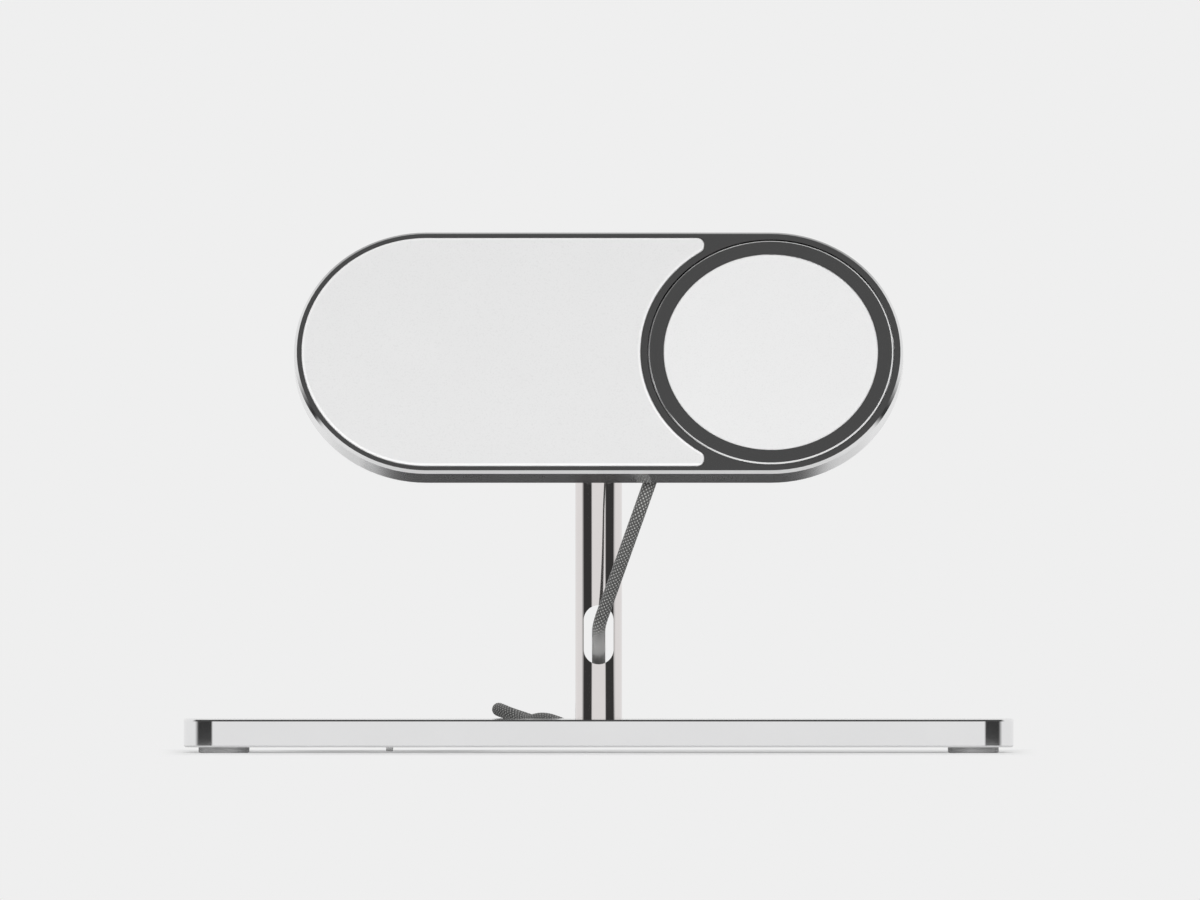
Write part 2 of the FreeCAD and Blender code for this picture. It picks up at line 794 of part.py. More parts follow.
def back_cover():
    """The plate that closes the cavity, with a thick pad for the hinge, a seat and the board's standoffs."""
    body = new_body("back_cover")
    outline = new_sketch(body, "outline", offset=head_back)
    pill(outline, head_span, cover_radius)
    pad(body, outline, named("cover_thickness"))
    hinge_pad = new_sketch(body, "hinge_pad", offset=cover_inside)
    flange_outline(hinge_pad)
    pad(body, hinge_pad, named("cover_pad_thickness"))
    seat = new_sketch(body, "puck_seat", offset=cover_inside)
    circle(seat, head_span, 0, puck_radius)
    circle(seat, head_span, 0, puck_radius - named("puck_ring_wall"))
    pad(body, seat, named("cover_pad_thickness"))
    standoffs = new_sketch(body, "standoffs", offset=cover_inside)
    for across, up in board_standoff_places():
        circle(standoffs, across, up, named("board_standoff_diameter") / 2)
    pad(body, standoffs, named("board_standoff"))
    hole = named("cover_screw_diameter") / 2 + named("screw_clearance")
    holes = new_sketch(body, "cover_screw_holes", offset=head_back)
    for across, up in cover_screw_places():
        circle(holes, across, up, hole)
    drilled = pocket(body, holes, named("cover_thickness"), flipped=True)
    rims = edges_at(drilled, head_back, is_circle_of(hole))
    break_edges(body, "Chamfer", rims, cover_sink - hole)
    threads = new_sketch(body, "bracket_threads", offset=head_back)
    for across, up in bracket_screw_places():
        circle(threads, across, up, named("bracket_screw_diameter") / 2 + named("thread_clearance"))
    pocket(body, threads, named("cover_thickness") + named("cover_pad_thickness"), flipped=True)
    gland_hole = new_sketch(body, "gland_hole", offset=head_back)
    neck_hole = named("gland_neck") / 2 + named("gland_clearance")
    circle(gland_hole, gland_across, -gland_drop, neck_hole)
    pocket(body, gland_hole, named("cover_thickness"), flipped=True)
    place_on_head(body)
    return [body]


def cover_screws():
    made = []
    for index, (across, up) in enumerate(cover_screw_places(), start=1):
        screw = countersunk_screw(
            f"cover_screw_{index}",
            named("cover_screw_diameter"),
            named("cover_screw_head"),
            named("cover_screw_length"),
            named("cover_screw_socket"),
        )
        place(screw, across, up, head_back)
        made.append(screw)
    screws = group("cover_screws", made)
    place_on_head(screws)
    return [screws]


def flange_outline(sketch):
    half_width = named("flange_width") / 2
    half_height = named("flange_height") / 2
    rounded_rectangle(sketch, -half_width, half_width, -half_height, half_height, named("flange_corner"))


def hinge_bracket():
    """A flange on the head's back with two ears that straddle the post's tongue."""
    body = new_body("hinge_bracket")
    flange = new_sketch(body, "flange", offset=flange_back)
    flange_outline(flange)
    pad(body, flange, named("flange_thickness"))
    reach = named("ear_radius")
    for side, name in ((1, "right"), (-1, "left")):
        offset = ear_inner if side > 0 else -ear_outer
        web = new_sketch(body, f"{name}_web", "YZ_Plane", offset=offset)
        rectangle(web, -reach, reach, -hinge_depth, flange_back)
        pad(body, web, named("ear_thickness"))
        eye = new_sketch(body, f"{name}_eye", "YZ_Plane", offset=offset)
        circle(eye, 0, -hinge_depth, reach)
        pad(body, eye, named("ear_thickness"))
    roots = edges_at(body.Tip, flange_back, lambda edge: abs(edge.BoundBox.XMax) < ear_outer.value + 1e-3)
    break_edges(body, "Fillet", outer_roots(body.Tip, roots), named("ear_root_fillet"))
    pin_hole = new_sketch(body, "pin_hole", "YZ_Plane")
    circle(pin_hole, 0, -hinge_depth, named("pin_diameter") / 2 + named("pin_clearance"))
    pocket_both_ways(body, pin_hole, 4 * ear_outer)
    hole = named("bracket_screw_diameter") / 2 + named("screw_clearance")
    holes = new_sketch(body, "screw_holes", offset=flange_back)
    for across, up in bracket_screw_places():
        circle(holes, across, up, hole)
    drilled = pocket(body, holes, named("flange_thickness"), flipped=True)
    rims = edges_at(drilled, flange_back, is_circle_of(hole))
    sink = named("bracket_screw_head") / 2 + named("screw_clearance")
    break_edges(body, "Chamfer", rims, sink - hole)
    place_on_head(body)
    return [body]


def outer_roots(feature, names):
    """Of the edges where the ears meet the flange, the long ones on the ears' outer sides."""
    kept = []
    for name in names:
        box = feature.Shape.getElement(name).BoundBox
        on_side = abs(max(abs(box.XMin), abs(box.XMax)) - ear_outer.value) < 1e-4
        if on_side and box.XLength < 1e-4:
            kept.append(name)
    return kept


def bracket_screws():
    made = []
    for index, (across, up) in enumerate(bracket_screw_places(), start=1):
        screw = countersunk_screw(
            f"bracket_screw_{index}",
            named("bracket_screw_diameter"),
            named("bracket_screw_head"),
            named("bracket_screw_length"),
            named("bracket_screw_socket"),
        )
        place(screw, across, up, flange_back)
        made.append(screw)
    screws = group("bracket_screws", made)
    place_on_head(screws)
    return [screws]


def lay_across(item, across):
    """Turn a sub-part's own +Z towards +X and put it on the hinge's axis."""
    item.Placement = Placement(Vector(), Rotation(Vector(0, 1, 0), 90))
    place(item, across, post_y, hinge_z)


def hinge_pin():
    """A button-headed pin from the right, long enough for the nut on the left."""
    radius = named("pin_diameter") / 2
    head = named("pin_head_diameter") / 2
    dome = named("pin_head_height") / 2
    length = 2 * ear_outer + named("nut_height")
    body = turned_body("hinge_pin", [
        (0, -length),
        (radius, -length),
        (radius, 0),
        (head, 0),
        (head, dome),
        (head - dome, 2 * dome),
        (0, 2 * dome),
    ])
    drive = new_sketch(body, "drive", offset=named("pin_head_height"))
    hexagon(drive, named("pin_socket"))
    pocket(body, drive, dome)
    lay_across(body, ear_outer)
    return [body]


def hinge_nut():
    body = new_body("hinge_nut")
    outline = new_sketch(body, "outline")
    hexagon(outline, named("nut_width"))
    circle(outline, 0, 0, named("pin_diameter") / 2 + named("thread_clearance"))
    pad(body, outline, named("nut_height"))
    lay_across(body, -ear_outer - named("nut_height"))
    return [body]


def hinge_washers():
    """A friction washer between the tongue and each ear."""
    made = []
    inner = named("pin_diameter") / 2 + named("washer_clearance")
    outer = named("washer_diameter") / 2
    for label, start in (("washer_right", hinge_inner), ("washer_left", -ear_inner)):
        washer = ring_body(label, inner, outer, 0, named("washer_thickness"))
        lay_across(washer, start)
        made.append(washer)
    return made


def puck_ring():
    """The metal shell of the round charger: a lip round the white disc and a wall down to the seat."""
    outer = puck_radius
    inner = outer - named("puck_ring_width")
    wall = outer - named("puck_ring_wall")
    lip = -named("puck_ring_lip")
    chamfer = named("puck_ring_chamfer")
    body = turned_body("puck_ring", [
        (inner, 0),
        (inner, lip),
        (wall, lip),
        (wall, puck_seat),
        (outer, puck_seat),
        (outer, -chamfer),
        (outer - chamfer, 0),
    ])
    place_on_head(body, head_span)
    return [body]


def puck_disc():
    """The white contact face, held behind the ring's lip by its own flange."""
    front = named("disc_proud")
    lip = -named("puck_ring_lip")
    body = turned_body("puck_disc", [
        (0, disc_back),
        (ring_inside, disc_back),
        (ring_inside, lip),
        (disc_radius, lip),
        (disc_radius, front),
        (0, front),
    ])
    break_edges(body, "Fillet", edges_at(body.Tip, front), named("disc_edge_round"))
    place_on_head(body, head_span)
    return [body]


def magnet_ring(label, count, inner, outer, bottom, thickness):
    """Arc magnets side by side in a ring, with slits between them."""
    body = new_body(label)
    body.AllowCompound = True
    plan = new_sketch(body, "plan", offset=bottom)
    circle(plan, 0, 0, outer)
    circle(plan, 0, 0, inner)
    pad(body, plan, thickness)
    slit = new_sketch(body, "slit", offset=bottom)
    half = named("magnet_slit") / 2
    rectangle(slit, inner - half, outer + half, -half, half)
    cut = pocket(body, slit, thickness, flipped=True)
    pattern = body.newObject("PartDesign::PolarPattern", f"{label}_pattern")
    pattern.Originals = [cut]
    pattern.Axis = (plan, ["N_Axis"])
    pattern.Angle = 360
    pattern.Occurrences = count
    body.Tip = pattern
    doc.recompute()
    return body


def puck_inside():
    """Magnets, coil, ferrite shield and steel yoke, stacked behind the disc."""
    shield_back = puck_coil_back - named("shield_thickness")
    made = [
        magnet_ring(
            "puck_magnets",
            MAGNET_COUNT,
            ring_inside - named("magnet_width"),
            ring_inside,
            magnet_back,
            named("magnet_thickness"),
        ),
        ring_body("puck_coil", named("puck_coil_inner") / 2, puck_coil_radius, puck_coil_back, disc_back),
        disc_body("puck_shield", puck_shield_radius, shield_back, puck_coil_back),
        disc_body("puck_yoke", ring_inside, magnet_back - named("yoke_thickness"), magnet_back),
    ]
    for body in made:
        place_on_head(body, head_span)
    return made


def pad_inside():
    """Magnets, coil and ferrite shield of the second charger, on the back of the panel."""
    made = [
        magnet_ring(
            "pad_magnets",
            PAD_MAGNET_COUNT,
            pad_magnet_radius - named("pad_magnet_width"),
            pad_magnet_radius,
            panel_back - named("magnet_thickness"),
            named("magnet_thickness"),
        ),
        ring_body("pad_coil", named("pad_coil_inner") / 2, pad_coil_radius, pad_coil_back, panel_back),
        disc_body("pad_shield", pad_shield_radius, pad_coil_back - named("shield_thickness"), pad_coil_back),
    ]
    for body in made:
        place_on_head(body, -head_span)
    return made


def circuit_board():
    body = new_body("circuit_board")
    outline = new_sketch(body, "outline", offset=board_back)
    half_length = named("board_length") / 2
    half_height = named("board_height") / 2
    rounded_rectangle(outline, -half_length, half_length, -half_height, half_height, named("board_corner"))
    pad(body, outline, named("board_thickness"))
    place_on_head(body, -head_span)
    return [body]


def board_parts():
    """Chips, chokes and capacitors on the board: length, height and place as shares of the board's."""
    layout = [
        (0.13, 0.19, -0.1, 0.0),
        (0.16, 0.23, 0.21, 0.17),
        (0.1, 0.15, 0.21, -0.25),
        (0.08, 0.06, -0.34, 0.27),
        (0.08, 0.06, -0.34, 0.13),
        (0.08, 0.06, -0.34, 0.0),
        (0.05, 0.05, 0.03, 0.31),
        (0.05, 0.05, 0.03, -0.31),
        (0.06, 0.25, 0.41, -0.04),
    ]
    made = []
    for index, (length, height, across, up) in enumerate(layout, start=1):
        chip = doc.addObject("Part::Box", f"board_part_{index}")
        chip.setExpression("Length", (named("board_length") * length).text)
        chip.setExpression("Width", (named("board_height") * height).text)
        chip.setExpression("Height", named("part_height").text)
        left = named("board_length") * (across - length / 2)
        low = named("board_height") * (up - height / 2)
        place(chip, left, low, board_front)
        made.append(chip)
    parts = group("board_parts", made)
    place_on_head(parts, -head_span)
    return [parts]


def cord_gland():
    """The strain relief: a stem with a collar each side of the cover, and a grooved boot down the back."""
    neck = named("gland_neck") / 2
    collar = named("gland_collar") / 2
    inside = cover_inside + named("gland_collar_thickness")
    body = turned_body("cord_gland", [
        (0, gland_outside),
        (collar, gland_outside),
        (collar, head_back),
        (neck, head_back),
        (neck, cover_inside),
        (collar, cover_inside),
        (collar, inside),
        (0, inside),
    ])
    root = named("boot_root") / 2
    tip = named("boot_tip") / 2
    chamfer = named("boot_top_chamfer")
    top = named("boot_top")
    end = -named("boot_length")
    section = [
        (0, end),
        (tip, end),
    ]
    groove_depth = named("boot_groove_depth")
    half = named("boot_groove_width") / 2
    step = (named("boot_length") - named("boot_shoulder")) / (BOOT_GROOVES + 1)
    for index in range(1, BOOT_GROOVES + 1):
        level = end + index * step
        radius = tip + (root - tip) * (index / (BOOT_GROOVES + 1))
        section += [
            (radius, level - half),
            (radius - groove_depth, level - half),
            (radius - groove_depth, level + half),
            (radius, level + half),
        ]
    section += [
        (root, -named("boot_shoulder")),
        (root, top - chamfer),
        (root - chamfer, top),
        (0, top),
    ]
    boot = new_sketch(body, "boot", offset=boot_axis)
    boot.setExpression("AttachmentOffset.Rotation.Angle", (-named("boot_lean")).text)
    polygon(boot, section)
    revolve(body, boot)
    place_on_head(body, gland_across, -gland_drop)
    return [body]


def cord_path(points):
    """Straight runs joined by tangent arcs, each as large as its two runs allow, and the arcs' radii."""
    edges = []
    radii = []
    start = points[0]
    for before, corner, after in zip(points, points[1:], points[2:]):
        backward = before - corner
        forward = after - corner
        setback = BEND_SHARE * min(backward.Length, forward.Length)
        half_turn = (math.pi - backward.getAngle(forward)) / 2
        radius = setback / math.tan(half_turn)
        backward.normalize()
        forward.normalize()
        inward = backward + forward
        inward.normalize()
        entry = corner + backward * setback
        leave = corner + forward * setback
        middle = corner + inward * (radius / math.cos(half_turn) - radius)
        edges.append(Part.LineSegment(start, entry).toShape())
        edges.append(Part.Arc(entry, middle, leave).toShape())
        radii.append(radius)
        start = leave
    edges.append(Part.LineSegment(start, points[-1]).toShape())
    return Part.Wire(edges), radii


def cord_tube(label, points):
    """A plain round tube along one stretch of the cord."""
    wire, radii = cord_path(points)
    radius = named("cord_diameter").value / 2
    section = Part.Wire([Part.makeCircle(radius, points[0], points[1] - points[0])])
    tube = wire.makePipeShell([section], True, False)
    feature = doc.addObject("Part::Feature", label)
    feature.Label = label
    feature.Shape = tube
    share = tube.Volume / (math.pi * radius ** 2 * wire.Length)
    bends = ", ".join(f"{bend:.1f}" for bend in radii)
    print(f"{label}: {wire.Length:.1f} mm long, volume share {share:.4f}, bend radii {bends}")
    return feature


def below_boot(distance):
    """A point on the strain relief's axis, that far below its tip."""
    tilt = named("tilt")
    lean = named("boot_lean")
    reach = named("boot_length") + distance
    across = gland_across - reach * sine(lean)
    drop = gland_drop + reach * cosine(lean)
    back = face_y - drop * sine(tilt) - boot_axis * cosine(tilt)
    up = named("face_height") - drop * cosine(tilt) + boot_axis * sine(tilt)
    return Vector(across.value, back.value, up.value)


def before_plug(distance):
    """A point on the plug's axis, that far behind its boot."""
    back = named("plug_y") + distance
    return Vector(named("plug_x").value, back.value, plug_z.value)


def cord():
    """The cord's stretches: from the head to above the slot, on to the coil, and from there to the plug."""
    gap = named("cord_end_gap")
    route = [below_boot(gap), below_boot(named("boot_lead"))]
    route += [Vector(*point) for point in CORD_ROUTE]
    split = route[1] + (route[2] - route[1]) * CORD_SPLIT
    tail = [Vector(*point) for point in TAIL_ROUTE]
    tail += [before_plug(named("plug_lead")), before_plug(gap)]
    return [
        cord_tube("cord_upper", route[:2] + [split]),
        cord_tube("cord_lower", [split] + route[2:]),
        cord_tube("cord_tail", tail),
    ]


def cord_coil():
    """The outer shape of the wound cord, two layers high."""
    body = new_body("cord_coil")
    section = new_sketch(body, "section", "XZ_Plane")
    top = coil_bottom + named("coil_height")
    inner = named("coil_inner") / 2
    outer = named("coil_outer") / 2
    rounded_rectangle(section, inner, outer, coil_bottom, top, named("cord_diameter") / 2)
    revolve(body, section)
    place(body, named("coil_centre_x"), named("coil_centre_y"))
    return [body]


def cord_ties():
    """Straps round the coil's turns, which lie flat under and over them."""
    made = []
    half = named("tie_width") / 2
    clearance = named("tie_clearance")
    inner = named("coil_inner") / 2
    inside = square_root(inner * inner - half * half) - clearance
    outside = named("coil_outer") / 2 + clearance
    top = coil_bottom + named("coil_height")
    thickness = named("tie_thickness")
    radius = named("cord_diameter") / 2
    for side in ("near", "far"):
        angle = named(f"{side}_tie_angle")
        body = new_body(f"cord_tie_{side}")
        section = new_sketch(body, "section", "XZ_Plane")
        outer_left = inside - thickness
        outer_right = outside + thickness
        rounded_rectangle(section, outer_left, outer_right, 0, top + thickness, radius + thickness)
        rounded_rectangle(section, inside, outside, coil_bottom, top, radius)
        pad_both_ways(body, section, named("tie_width"))
        body.Placement = Placement(Vector(), Rotation(Vector(0, 0, 1), angle.value))
        body.setExpression("Placement.Rotation.Angle", angle.text)
        place(body, named("coil_centre_x"), named("coil_centre_y"))
        made.append(body)
    return made


def lay_plug(item, back):
    """Turn a sub-part's own +Z towards the base and put it on the plug's axis."""
    item.Placement = Placement(Vector(), Rotation(Vector(1, 0, 0), 90))
    place(item, named("plug_x"), back, plug_z)


def plug():
    """A slim reversible plug: tapered boot, moulded body and a hollow metal shell."""
    boot = turned_body("plug_boot", [
        (0, 0),
        (named("plug_boot_tip") / 2, 0),
        (named("plug_boot_root") / 2, named("plug_boot_length")),
        (0, named("plug_boot_length")),
    ])
    lay_plug(boot, named("plug_y"))
    body = new_body("plug_body")
    section = new_sketch(body, "section")
    half_width = named("plug_body_width") / 2
    rounded_rectangle(section, -half_width, half_width, -plug_z, plug_z, named("plug_body_round"))
    pad(body, section, named("plug_body_length"))
    lay_plug(body, plug_body_y)
    shell = new_body("plug_shell")
    wall = new_sketch(shell, "wall")
    radius = named("plug_shell_height") / 2
    span = named("plug_shell_width") / 2 - radius
    pill(wall, span, radius)
    pill(wall, span, radius - named("plug_shell_wall"))
    pad(shell, wall, named("plug_shell_length"))
    lay_plug(shell, plug_shell_y)
    return [boot, body, shell]


BUILDERS = [
    base_plate,
    feet,
    post,
    base_screw,
    hinge_bracket,
    bracket_screws,
    hinge_pin,
    hinge_nut,
    hinge_washers,
    head_frame,
    front_panel,
    back_cover,
    cover_screws,
    puck_ring,
    puck_disc,
    puck_inside,
    pad_inside,
    circuit_board,
    board_parts,
    cord_gland,
    cord,
    cord_coil,
    cord_ties,
    plug,
]


def check(sub_parts):
    """Stop if any object failed or any sub-part has no sound shape."""
    for item in doc.Objects:
        if "Invalid" in item.State or "Error" in item.State:
            raise RuntimeError(f"{item.Label} failed: {item.State}")
    for item in sub_parts:
        if item.Shape.isNull() or not item.Shape.isValid():
            raise RuntimeError(f"{item.Label} has no sound shape")


def main():
    sub_parts = [item for build in BUILDERS for item in build()]
    doc.recompute()
    check(sub_parts)
    os.makedirs("parts", exist_ok=True)
    for item in sub_parts:
        item.Shape.exportStep(f"parts/{item.Label}.step")
    print(f"{len(sub_parts)} sub-parts written")


main()
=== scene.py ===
"""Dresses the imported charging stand: studio, braided cord, ties and finishes, all in metres."""
import logging
import math
from dataclasses import dataclass
from enum import Enum
from functools import cache
from typing import Dict, List, Optional, Sequence, Tuple, Union

import bpy
from mathutils import Matrix, Vector


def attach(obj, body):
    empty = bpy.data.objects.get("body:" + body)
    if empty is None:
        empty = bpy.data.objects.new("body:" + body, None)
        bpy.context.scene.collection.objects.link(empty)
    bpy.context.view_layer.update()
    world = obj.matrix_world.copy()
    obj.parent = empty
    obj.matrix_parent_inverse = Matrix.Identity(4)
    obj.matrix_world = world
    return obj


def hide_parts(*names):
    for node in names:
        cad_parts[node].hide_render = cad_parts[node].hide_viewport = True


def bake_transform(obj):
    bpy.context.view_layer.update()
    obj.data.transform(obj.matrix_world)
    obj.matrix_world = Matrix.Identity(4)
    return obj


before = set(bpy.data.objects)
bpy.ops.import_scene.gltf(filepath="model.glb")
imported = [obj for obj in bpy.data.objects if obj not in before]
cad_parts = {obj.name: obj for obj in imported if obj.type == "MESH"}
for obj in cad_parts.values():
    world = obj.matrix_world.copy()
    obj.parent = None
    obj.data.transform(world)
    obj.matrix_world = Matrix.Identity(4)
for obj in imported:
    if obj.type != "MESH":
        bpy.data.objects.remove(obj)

LOG = logging.getLogger("charging_stand")
MM = 0.001
TURN = 2 * math.pi
CIRCLE = 360.0
HALF = 0.5
TINY = 1e-12

Colour = Tuple[float, float, float]
Point = Tuple[float, float, float]
Pair = Tuple[float, float]

# The head's face: how far it tilts back, where it looks, and the middles of its two charging areas
FACE_TILT = math.radians(24.5)
FACING = (0.0, -math.cos(FACE_TILT), math.sin(FACE_TILT))
LEAN = FACE_TILT - math.pi / 2
HEAD_SPAN = 39.3 * MM
FACE_MIDDLE = (0.0, -17.74 * MM, 91.4 * MM)
PUCK_MIDDLE = (HEAD_SPAN, *FACE_MIDDLE[1:])
PAD_MIDDLE = (-HEAD_SPAN, *FACE_MIDDLE[1:])

# The middle of the wound cord, in millimetres like the cord's route
COIL_MIDDLE = (-47.7, 90.0)


class Body(Enum):
    """The two bodies that pieces ride on."""

    STAND = "stand"
    HEAD = "head"


class Slot(Enum):
    """Two of the record's material slots: the braided cord's and the tie fabric's."""

    BRAID = "cord_braid"
    FABRIC = "tie_fabric"


class Maths(Enum):
    """What a Math node works out."""

    ADD = "ADD"
    SUBTRACT = "SUBTRACT"
    MULTIPLY = "MULTIPLY"
    ABSOLUTE = "ABSOLUTE"
    ROOT = "SQRT"
    COSINE = "COSINE"
    ARCSINE = "ARCSINE"
    ARCTANGENT = "ARCTAN2"
    LEAST = "MINIMUM"
    MOST = "MAXIMUM"


def grey(level: float, warm: float = 0.0) -> Colour:
    """A grey of that linear level, with less blue where it is warm."""
    return (level, level, level * (1 - warm))


class Wire:
    """A socket's output that can stand in Python sums."""

    def __init__(self, graph: "Graph", socket: bpy.types.NodeSocket) -> None:
        """Hold a socket and the graph that it belongs to."""
        self.graph = graph
        self.socket = socket

    def __add__(self, other: "Number") -> "Wire":
        """Sum of two values."""
        return self.graph.math(Maths.ADD, self, other)

    def __sub__(self, other: "Number") -> "Wire":
        """Difference of two values."""
        return self.graph.math(Maths.SUBTRACT, self, other)

    def __rsub__(self, other: "Number") -> "Wire":
        """Difference with a plain number on the left."""
        return self.graph.math(Maths.SUBTRACT, other, self)

    def __mul__(self, other: "Number") -> "Wire":
        """Product of two values."""
        return self.graph.math(Maths.MULTIPLY, self, other)

    def __abs__(self) -> "Wire":
        """Size of a value without its sign."""
        return self.graph.math(Maths.ABSOLUTE, self)

    def root(self) -> "Wire":
        """Square root of a value."""
        return self.graph.math(Maths.ROOT, self)

    def cosine(self) -> "Wire":
        """Cosine of an angle in radians."""
        return self.graph.math(Maths.COSINE, self)

    def least(self, other: "Number") -> "Wire":
        """The smaller of two values."""
        return self.graph.math(Maths.LEAST, self, other)

    def most(self, other: "Number") -> "Wire":
        """The larger of two values."""
        return self.graph.math(Maths.MOST, self, other)

    def step(self, low: float, high: float) -> "Wire":
        """A smooth step from 0 at low to 1 at high."""
        inputs = {"Value": self, "From Min": low, "From Max": high}
        return self.graph.out("ShaderNodeMapRange", {"interpolation_type": "SMOOTHSTEP"}, inputs)


Number = Union[Wire, float]
Anything = Union[Wire, float, Sequence[float]]
Settings = Optional[Dict[str, object]]
Inputs = Optional[Dict[Union[str, int], Anything]]


class Graph:
    """A node tree that is written as expressions."""

    def __init__(self, tree: bpy.types.NodeTree) -> None:
        """Start from an empty tree."""
        self.tree = tree
        tree.nodes.clear()

    def node(self, kind: str, settings: Settings = None, inputs: Inputs = None) -> bpy.types.Node:
        """Add a node.

        Args:
            kind: the node's type.
            settings: its properties, set first.
            inputs: values or wires for its sockets, by name or number.

        Returns:
            The new node.
        """
        made = self.tree.nodes.new(kind)
        for name, value in (settings or {}).items():
            setattr(made, name, value)
        for name, value in (inputs or {}).items():
            if isinstance(value, Wire):
                self.tree.links.new(value.socket, made.inputs[name])
            else:
                made.inputs[name].default_value = value
        return made

    def out(
        self,
        kind: str,
        settings: Settings = None,
        inputs: Inputs = None,
        output: Union[str, int] = 0,
    ) -> Wire:
        """Add a node and take one of its outputs.

        Args:
            kind: the node's type.
            settings: its properties.
            inputs: values or wires for its sockets.
            output: the output's name or number.

        Returns:
            The output as a wire.
        """
        return Wire(self, self.node(kind, settings, inputs).outputs[output])

    def math(self, operation: Maths, first: Number, second: Optional[Number] = None) -> Wire:
        """Add a Math node.

        Args:
            operation: what it works out.
            first: the first value.
            second: the second value, where the operation has one.

        Returns:
            The result as a wire.
        """
        inputs: Dict[Union[str, int], Anything] = {0: first}
        if second is not None:
            inputs[1] = second
        return self.out("ShaderNodeMath", {"operation": operation.value}, inputs)

    def colours(self, share: Number, low: Anything, high: Anything) -> Wire:
        """Mix two colours.

        Args:
            share: how much of the second colour shows, from 0 to 1.
            low: the first colour.
            high: the second colour.

        Returns:
            The mixed colour.
        """
        both = [colour if isinstance(colour, Wire) else (*colour, 1.0) for colour in (low, high)]
        return self.out("ShaderNodeMix", {"data_type": "RGBA"}, {0: share, 6: both[0], 7: both[1]}, 2)

    def place(self, shift: Point = (0, 0, 0), turn: Point = (0, 0, 0), scale: Point = (1, 1, 1)) -> Wire:
        """Coordinates in metres, moved into a piece's own frame.

        Args:
            shift: the point that becomes the origin, before the turn.
            turn: rotation in radians about X, Y and Z.
            scale: stretch of each axis after the turn.

        Returns:
            The coordinates as a wire.
        """
        here = self.out("ShaderNodeTexCoord", output="Object")
        moved = self.out("ShaderNodeVectorMath", {"operation": "SUBTRACT"}, {0: here, 1: shift})
        rotation = {"Vector": moved, "Rotation": turn}
        turned = self.out("ShaderNodeVectorRotate", {"rotation_type": "EULER_XYZ"}, rotation)
        return self.out("ShaderNodeVectorMath", {"operation": "MULTIPLY"}, {0: turned, 1: scale})

    def parts(self, vector: Wire) -> Tuple[Wire, Wire, Wire]:
        """The three numbers of a vector."""
        split = self.node("ShaderNodeSeparateXYZ", None, {0: vector})
        return (Wire(self, split.outputs[0]), Wire(self, split.outputs[1]), Wire(self, split.outputs[2]))

    def noise(self, where: Wire, per_metre: float, detail: float = 2.0, rough: float = 0.5) -> Wire:
        """Soft noise from 0 to 1.

        Args:
            where: the coordinates.
            per_metre: how many waves fit in a metre.
            detail: octaves of finer noise.
            rough: how strong the finer noise is.

        Returns:
            The noise as a wire.
        """
        inputs = {"Vector": where, "Scale": per_metre, "Detail": detail, "Roughness": rough}
        return self.out("ShaderNodeTexNoise", None, inputs)

    def bump(self, height: Wire, depth: float, strength: float) -> Wire:
        """A normal from a height whose 0 and 1 are a depth in metres apart."""
        return self.out("ShaderNodeBump", None, {"Height": height, "Distance": depth, "Strength": strength})

    def rays(self) -> Tuple[Wire, Wire]:
        """Whether a ray comes from the camera, and whether it comes off metal or through glass.

        Returns:
            Two wires of 0 or 1.
        """
        path = self.node("ShaderNodeLightPath")
        seen = Wire(self, path.outputs["Is Camera Ray"])
        glossy = Wire(self, path.outputs["Is Glossy Ray"])
        through = Wire(self, path.outputs["Is Transmission Ray"])
        return seen, (glossy + through).least(1.0)


@dataclass(frozen=True)
class Finish:
    """What every finish has: a name, a colour, and how rough and metallic it is."""

    name: str
    colour: Colour
    roughness: float
    metallic: float = 0.0

    def shade(self, amount: float) -> Colour:
        """The colour times a number, no brighter than white."""
        return tuple(min(1.0, part * amount) for part in self.colour)

    @cache
    def material(self) -> bpy.types.Material:
        """Make the material, once for each finish.

        Returns:
            The material with this finish's nodes.
        """
        made = bpy.data.materials.new(self.name)
        made.use_nodes = True
        graph = Graph(made.node_tree)
        inputs = {"Base Color": (*self.colour, 1.0), "Roughness": self.roughness, "Metallic": self.metallic}
        inputs.update(self.constants())
        inputs.update(self.paint(graph))
        surface = graph.out("ShaderNodeBsdfPrincipled", None, inputs)
        graph.node("ShaderNodeOutputMaterial", None, {"Surface": surface})
        return made

    def paint(self, graph: Graph) -> Dict[str, Wire]:
        """What varies over the surface, by the shader's socket."""
        return {}

    def constants(self) -> Dict[str, float]:
        """What is the same all over, by the shader's socket."""
        return {}


@dataclass(frozen=True)
class PolishedMetal(Finish):
    """Mirror-bright metal with faint wiping marks, and walls that may be a little duller."""

    smear: float = 0.03
    smear_per_metre: float = 34.0
    dull_wall: float = 0.0
    smear_detail: Pair = (4.0, 0.62)
    hair_scale: Point = (60, 900, 900)
    hair_share: float = 0.4
    wall_turn: Pair = (0.1, 0.5)
    mark_levels: Pair = (0.35, 0.7)
    mark_tone: float = 0.975

    def paint(self, graph: Graph) -> Dict[str, Wire]:
        """Wiping marks in the gloss and a trace of them in the colour.

        Args:
            graph: the material's nodes.

        Returns:
            Roughness and colour.
        """
        marks = graph.noise(graph.place(), self.smear_per_metre, *self.smear_detail)
        hairs = graph.noise(graph.place(scale=self.hair_scale), 1.0, 1.0)
        gloss = (marks - HALF) * self.smear + (hairs - HALF) * (self.smear * self.hair_share) + self.roughness
        if self.dull_wall:
            normal = graph.out("ShaderNodeTexCoord", output="Normal")
            inputs = {0: normal, 1: FACING}
            front = graph.out("ShaderNodeVectorMath", {"operation": "DOT_PRODUCT"}, inputs, "Value")
            gloss = gloss + (1 - abs(front).step(*self.wall_turn)) * self.dull_wall
        tone = graph.colours(marks.step(*self.mark_levels), self.shade(self.mark_tone), self.colour)
        return {"Roughness": gloss, "Base Color": tone}


